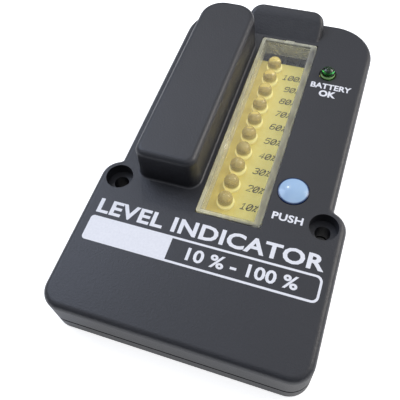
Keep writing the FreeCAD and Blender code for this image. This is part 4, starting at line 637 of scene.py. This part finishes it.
# left, right, foot and top of each print, then a word's weight and its letter spacing
print_word("title_print", "LEVEL INDICATOR", -35.0, 35.8, -14.3, -9.1, 0.03, 1.05)
print_shape("block_print", rounded(-35.6, -8.8, -24.0, -15.5, 1.2, 0.05))
print_shape(
    "frame_print", rounded(-8.8, 36.3, -24.0, -15.5, 0.05, 2.0),
    [rounded(-8.7, 35.6, -23.3, -16.2, 0.05, 1.4)])
print_word("range_print", "10 % - 100 %", -3.0, 30.0, -21.9, -17.7, 0.025)
print_word("push_print", "PUSH", 17.4, 26.8, -1.4, 1.2, 0.03, 1.05)
print_word("battery_print", "BATTERY", 16.8, 30.7, 53.5, 56.0, 0.03)
print_word("ok_print", "OK", 20.3, 26.1, 49.9, 52.8, 0.045)


# Push switch, driver chip and snap connector
# Small parts moulded in black glass filled plastic, dull and slightly mottled. They stand
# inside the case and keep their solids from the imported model.

GLASS_FILLER = 0.0004         # drawn some ten times as coarse as the real fibres so that it shows
FILLER_DEPTH = 0.00003

dark_moulding, tree, coordinates = start_material("glass_filled_black_plastic")
filler = add_node(tree, "ShaderNodeTexNoise", inputs={
    "Vector": coordinates, "Scale": 1 / GLASS_FILLER, "Detail": 3.0, "Roughness": 0.7})
filled_colour = add_node(tree, "ShaderNodeMix", {"data_type": "RGBA"}, {
    0: filler.outputs["Fac"], 6: linear("#151517"), 7: linear("#232326")})
filled_relief = add_node(tree, "ShaderNodeBump", inputs={
    "Strength": 0.3, "Distance": FILLER_DEPTH, "Height": filler.outputs["Fac"]})
show(tree, add_node(tree, "ShaderNodeBsdfPrincipled", inputs={
    "Base Color": filled_colour.outputs[2], "Roughness": 0.55, "IOR": 1.55,
    "Normal": filled_relief.outputs[0]}))
dress(dark_moulding, "push_switch_body", "push_switch_plunger", "driver_chip", "battery_snap")


# Terminal strip with its clamp cages
# A strip of grey polyamide for four sensor wires, open to the wire slot in the far end wall.
# Each wire hole shows the rim of a tinned steel cage that a screw draws together.

STRIP_MOTTLE = 0.0009         # cloudy patches in the polyamide
TIN_PATCH = 0.0009            # dull patches in the tinning
TIN_DEPTH = 0.00003
CAGE_SPACING = 0.00508
CAGE_INSET = 0.0030           # middle of the cages behind the strip's open face
CAGE_HEIGHT = 0.0088          # middle of the wire holes

grey_polyamide, tree, coordinates = start_material("moulded_grey_polyamide")
mottle = add_node(tree, "ShaderNodeTexNoise", inputs={
    "Vector": coordinates, "Scale": 1 / STRIP_MOTTLE, "Detail": 3.0})
strip_colour = add_node(tree, "ShaderNodeMix", {"data_type": "RGBA"}, {
    0: mottle.outputs["Fac"], 6: linear("#6f6a60"), 7: linear("#837d72")})
show(tree, add_node(tree, "ShaderNodeBsdfPrincipled", inputs={
    "Base Color": strip_colour.outputs[2], "Roughness": 0.42, "IOR": 1.53}))
dress(grey_polyamide, "terminal_strip")

tinned_steel, tree, coordinates = start_material("tinned_sheet_steel")
tinning = add_node(tree, "ShaderNodeTexNoise", inputs={
    "Vector": coordinates, "Scale": 1 / TIN_PATCH, "Detail": 3.0, "Roughness": 0.6})
tin_gloss = add_node(tree, "ShaderNodeMapRange", inputs={
    "Value": tinning.outputs["Fac"], "To Min": 0.22, "To Max": 0.45})
tin_relief = add_node(tree, "ShaderNodeBump", inputs={
    "Strength": 0.25, "Distance": TIN_DEPTH, "Height": tinning.outputs["Fac"]})
show(tree, add_node(tree, "ShaderNodeBsdfPrincipled", inputs={
    "Base Color": linear("#c3c3be"), "Metallic": 1.0, "Roughness": tin_gloss.outputs[0],
    "Normal": tin_relief.outputs[0]}))

strip_low, strip_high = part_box("terminal_strip")
strip_middle = (strip_low[0] + strip_high[0]) / 2
tree, size = start_geometry("clamp_cages", (
    ("Count", "NodeSocketInt"), ("First", "NodeSocketVector"), ("Step", "NodeSocketVector"),
    ("Plate", "NodeSocketVector"), ("Reach", "NodeSocketFloat")))
cage_points = add_node(tree, "GeometryNodeMeshLine", inputs={
    "Count": size["Count"], "Start Location": size["First"], "Offset": size["Step"]})
plate = add_node(tree, "GeometryNodeMeshCube", inputs={"Size": size["Plate"]})
plates = []
for sign in (-1.0, 1.0):
    offset = add_node(tree, "ShaderNodeMath", {"operation": "MULTIPLY"}, {
        0: size["Reach"], 1: sign})
    shift = add_node(tree, "ShaderNodeCombineXYZ", inputs={"Z": offset.outputs[0]})
    plates.append(add_node(tree, "GeometryNodeTransform", inputs={
        "Geometry": plate.outputs["Mesh"], "Translation": shift.outputs[0]}).outputs[0])
finish_row(tree, cage_points.outputs[0], plates, tinned_steel)
clamp_cages = grow("clamp_cages", tree, {
    "Count": 4, "First": (
        strip_middle - 1.5 * CAGE_SPACING, strip_high[1] - CAGE_INSET, CAGE_HEIGHT),
    "Step": (CAGE_SPACING, 0.0, 0.0), "Plate": (0.0020, 0.0040, 0.0003), "Reach": 0.0010})
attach(clamp_cages, "case")


# Screws and links
# Zinc plated slotted screws in the strip, under the board and behind the cover, and the tinned
# wires between strip and board. The plating is bright with fine dull patches.

ZINC_PATCH = 0.0011           # dull patches in the plating

zinc_plate, tree, coordinates = start_material("zinc_plated_steel")
patches = add_node(tree, "ShaderNodeTexNoise", inputs={
    "Vector": coordinates, "Scale": 1 / ZINC_PATCH, "Detail": 4.0, "Roughness": 0.65})
zinc_colour = add_node(tree, "ShaderNodeMix", {"data_type": "RGBA"}, {
    0: patches.outputs["Fac"], 6: linear("#a9acae"), 7: linear("#c9ccce")})
zinc_gloss = add_node(tree, "ShaderNodeMapRange", inputs={
    "Value": patches.outputs["Fac"], "To Min": 0.25, "To Max": 0.45})
show(tree, add_node(tree, "ShaderNodeBsdfPrincipled", inputs={
    "Base Color": zinc_colour.outputs[2], "Metallic": 1.0, "Roughness": zinc_gloss.outputs[0]}))
dress(zinc_plate, "terminal_screws", "terminal_links", "board_screws", "cover_screws")


# Trimmer
# A blue moulded trimmer with a slotted rotor, set once in the factory. Its skin is smooth and
# half gloss.

BLUE_MOTTLE = 0.0008          # faintly uneven colour of the moulding

trimmer_blue, tree, coordinates = start_material("moulded_blue_polyester")
blue_mottle = add_node(tree, "ShaderNodeTexNoise", inputs={
    "Vector": coordinates, "Scale": 1 / BLUE_MOTTLE, "Detail": 3.0})
blue_colour = add_node(tree, "ShaderNodeMix", {"data_type": "RGBA"}, {
    0: blue_mottle.outputs["Fac"], 6: linear("#1c4596"), 7: linear("#2852a8")})
show(tree, add_node(tree, "ShaderNodeBsdfPrincipled", inputs={
    "Base Color": blue_colour.outputs[2], "Roughness": 0.36, "IOR": 1.52}))
dress(trimmer_blue, "trimmer")


# Battery and capacitor
# Drawn cans of thin metal: the battery's plain nickelled jacket and the capacitor's aluminium.
# The drawing leaves fine lines along the can.

DRAW_LINE = 0.0005            # drawn coarser than real so that the lines show

drawn_can, tree, coordinates = start_material("drawn_aluminium_can")
draw_frame = add_node(tree, "ShaderNodeMapping", inputs={
    "Vector": coordinates, "Scale": (1.0, 0.05, 1.0)})
draw_lines = add_node(tree, "ShaderNodeTexNoise", inputs={
    "Vector": draw_frame.outputs[0], "Scale": 1 / DRAW_LINE, "Detail": 3.0})
can_gloss = add_node(tree, "ShaderNodeMapRange", inputs={
    "Value": draw_lines.outputs["Fac"], "To Min": 0.25, "To Max": 0.42})
show(tree, add_node(tree, "ShaderNodeBsdfPrincipled", inputs={
    "Base Color": linear("#b4b6ba"), "Metallic": 1.0, "Roughness": can_gloss.outputs[0]}))
dress(drawn_can, "battery_9v", "capacitor")


# Resistors
# Four lacquered carbon film resistors. The lacquer is beige, thick and slightly wavy. It is put
# on the short legs as well, because body and legs are one solid.

LACQUER_WAVE = 0.0015         # where the lacquer is a little thicker or thinner

lacquer, tree, coordinates = start_material("beige_resistor_lacquer")
waves = add_node(tree, "ShaderNodeTexNoise", inputs={
    "Vector": coordinates, "Scale": 1 / LACQUER_WAVE, "Detail": 2.0})
lacquer_colour = add_node(tree, "ShaderNodeMix", {"data_type": "RGBA"}, {
    0: waves.outputs["Fac"], 6: linear("#c2a678"), 7: linear("#d6bd92")})
show(tree, add_node(tree, "ShaderNodeBsdfPrincipled", inputs={
    "Base Color": lacquer_colour.outputs[2], "Roughness": 0.3, "IOR": 1.5}))
dress(lacquer, "resistors")


# Battery leads
# Stranded wire in soft vinyl sleeves, one red and one black, from the connector to the board.
# Each follows its own solid inside the case; the sleeves are smooth and slightly dull.

SLEEVE_MOTTLE = 0.001         # faintly uneven colour of the vinyl

for sleeve_name, lead, dark, light in (
        ("red_vinyl_sleeve", "battery_lead_red", "#9c1216", "#b41d20"),
        ("black_vinyl_sleeve", "battery_lead_black", "#0d0d0e", "#1a1a1c")):
    vinyl, tree, coordinates = start_material(sleeve_name)
    sleeve_mottle = add_node(tree, "ShaderNodeTexNoise", inputs={
        "Vector": coordinates, "Scale": 1 / SLEEVE_MOTTLE, "Detail": 2.0})
    sleeve_colour = add_node(tree, "ShaderNodeMix", {"data_type": "RGBA"}, {
        0: sleeve_mottle.outputs["Fac"], 6: linear(dark), 7: linear(light)})
    show(tree, add_node(tree, "ShaderNodeBsdfPrincipled", inputs={
        "Base Color": sleeve_colour.outputs[2], "Roughness": 0.4, "IOR": 1.52}))
    dress(vinyl, lead)


# Floor
# A plain white table, which the camera and the gloss see as white, with the object's own
# shadow kept on it.

FLOOR_HALF = 1.5
FLOOR_HEIGHT = -0.0001        # just below the case, so that the two faces don't fight
CAMERA_GLOW = 0.7             # added to what the camera sees of the table
MIRROR_GLOW = 0.35            # added to what the object mirrors of it

floor_paint, tree, coordinates = start_material("white_table")
path = add_node(tree, "ShaderNodeLightPath")
mirrored = add_node(tree, "ShaderNodeMath", {"operation": "MAXIMUM"}, {
    0: path.outputs["Is Glossy Ray"], 1: path.outputs["Is Transmission Ray"]})
paint = add_node(tree, "ShaderNodeBsdfDiffuse", inputs={"Color": linear("#f2f2f2")})
mirrored_glow = add_node(tree, "ShaderNodeMath", {"operation": "MULTIPLY"}, {
    0: mirrored.outputs[0], 1: MIRROR_GLOW})
glow_strength = add_node(tree, "ShaderNodeMath", {"operation": "MULTIPLY_ADD"}, {
    0: path.outputs["Is Camera Ray"], 1: CAMERA_GLOW, 2: mirrored_glow.outputs[0]})
glow = add_node(tree, "ShaderNodeEmission", inputs={"Strength": glow_strength.outputs[0]})
show(tree, add_node(tree, "ShaderNodeAddShader", inputs={
    0: paint.outputs[0], 1: glow.outputs[0]}))
floor_mesh = bpy.data.meshes.new("floor")
floor_mesh.from_pydata(
    [(FLOOR_HALF * x, FLOOR_HALF * y, FLOOR_HEIGHT) for x, y in ((-1, -1), (1, -1), (1, 1), (-1, 1))],
    [], [(0, 1, 2, 3)])
floor = bpy.data.objects.new("floor", floor_mesh)
bpy.context.collection.objects.link(floor)
floor_mesh.materials.append(floor_paint)


# Studio light
# A pale ceiling above a dim horizon, darker behind the photographer and overhead save for a
# bright patch at the top. A softbox at the left lays its sheen on the left part of the front,
# one stands at the right, and a small one far off marks the button.

world = bpy.data.worlds.new("studio")
bpy.context.scene.world = world
world.use_nodes = True
tree = world.node_tree
tree.nodes.clear()
path = add_node(tree, "ShaderNodeLightPath")
direction = add_node(tree, "ShaderNodeSeparateXYZ", inputs={
    0: add_node(tree, "ShaderNodeTexCoord").outputs["Generated"]})
# Z is the height in the sky: the horizon is dim, and the light falls off again overhead
ceiling = add_node(tree, "ShaderNodeMapRange", {"interpolation_type": "SMOOTHSTEP"}, {
    "Value": direction.outputs["Z"], "From Min": 0.15, "From Max": 0.7,
    "To Min": 0.1, "To Max": 0.93})
overhead = add_node(tree, "ShaderNodeMapRange", {"interpolation_type": "SMOOTHSTEP"}, {
    "Value": direction.outputs["Z"], "From Min": 0.74, "From Max": 0.92,
    "To Min": 1.0, "To Max": 0.65})
# low Y is the side from which the photograph was taken
photographer = add_node(tree, "ShaderNodeMapRange", {"interpolation_type": "SMOOTHSTEP"}, {
    "Value": direction.outputs["Y"], "From Min": -0.85, "From Max": -0.25,
    "To Min": 0.08, "To Max": 1.0})
# the bright patch at the top
zenith = add_node(tree, "ShaderNodeMapRange", {"interpolation_type": "SMOOTHSTEP"}, {
    "Value": direction.outputs["Z"], "From Min": 0.95, "From Max": 0.985,
    "To Min": 0.0, "To Max": 0.9})
above = add_node(tree, "ShaderNodeMath", {"operation": "ADD"}, {
    0: overhead.outputs[0], 1: zenith.outputs[0]})
open_sky = add_node(tree, "ShaderNodeMath", {"operation": "MULTIPLY"}, {
    0: ceiling.outputs[0], 1: above.outputs[0]})
sky_strength = add_node(tree, "ShaderNodeMath", {"operation": "MULTIPLY"}, {
    0: open_sky.outputs[0], 1: photographer.outputs[0]})
sky = add_node(tree, "ShaderNodeBackground", inputs={
    "Color": linear("#eef1f8"), "Strength": sky_strength.outputs[0]})
# the camera itself sees a white backdrop
backdrop = add_node(tree, "ShaderNodeBackground", inputs={
    "Color": linear("#ffffff"), "Strength": 1.0})
surroundings = add_node(tree, "ShaderNodeMixShader", inputs={
    0: path.outputs["Is Camera Ray"], 1: sky.outputs[0], 2: backdrop.outputs[0]})
add_node(tree, "ShaderNodeOutputWorld", inputs={"Surface": surroundings.outputs[0]})

LIGHT_TARGET = Vector((0.0, 0.02, 0.0))    # the middle of the case

for name, place, side, power, tone in (
        ("left_softbox", (-0.43, 0.19, 0.5), 0.36, 1.6, "#d6e3ff"),
        ("right_softbox", (0.5, 0.35, 0.4), 0.4, 2.4, "#fff8f0"),
        ("spot_softbox", (-0.19, 0.426, 0.55), 0.07, 0.25, "#ffffff")):
    lamp = bpy.data.lights.new(name, "AREA")
    lamp.shape = "SQUARE"
    lamp.size = side
    lamp.energy = power
    lamp.color = linear(tone)[:3]
    holder = bpy.data.objects.new(name, lamp)
    holder.location = place
    aim = LIGHT_TARGET - Vector(place)
    holder.rotation_euler = aim.to_track_quat("-Z", "Y").to_euler()
    bpy.context.collection.objects.link(holder)


# Camera
# Where the photograph was taken from, found from the case's straight edges.

camera_data = bpy.data.cameras.new("camera")
camera_data.lens = 48.32
camera_data.sensor_width = 36.0
camera_data.clip_start = 0.01
camera = bpy.data.objects.new("camera", camera_data)
camera.location = (0.03274, -0.08048, 0.15732)
camera.rotation_euler = [math.radians(angle) for angle in (31.6968, 4.2184, 18.7933)]
bpy.context.collection.objects.link(camera)
bpy.context.scene.camera = camera
bpy.context.scene.view_settings.view_transform = "Standard"
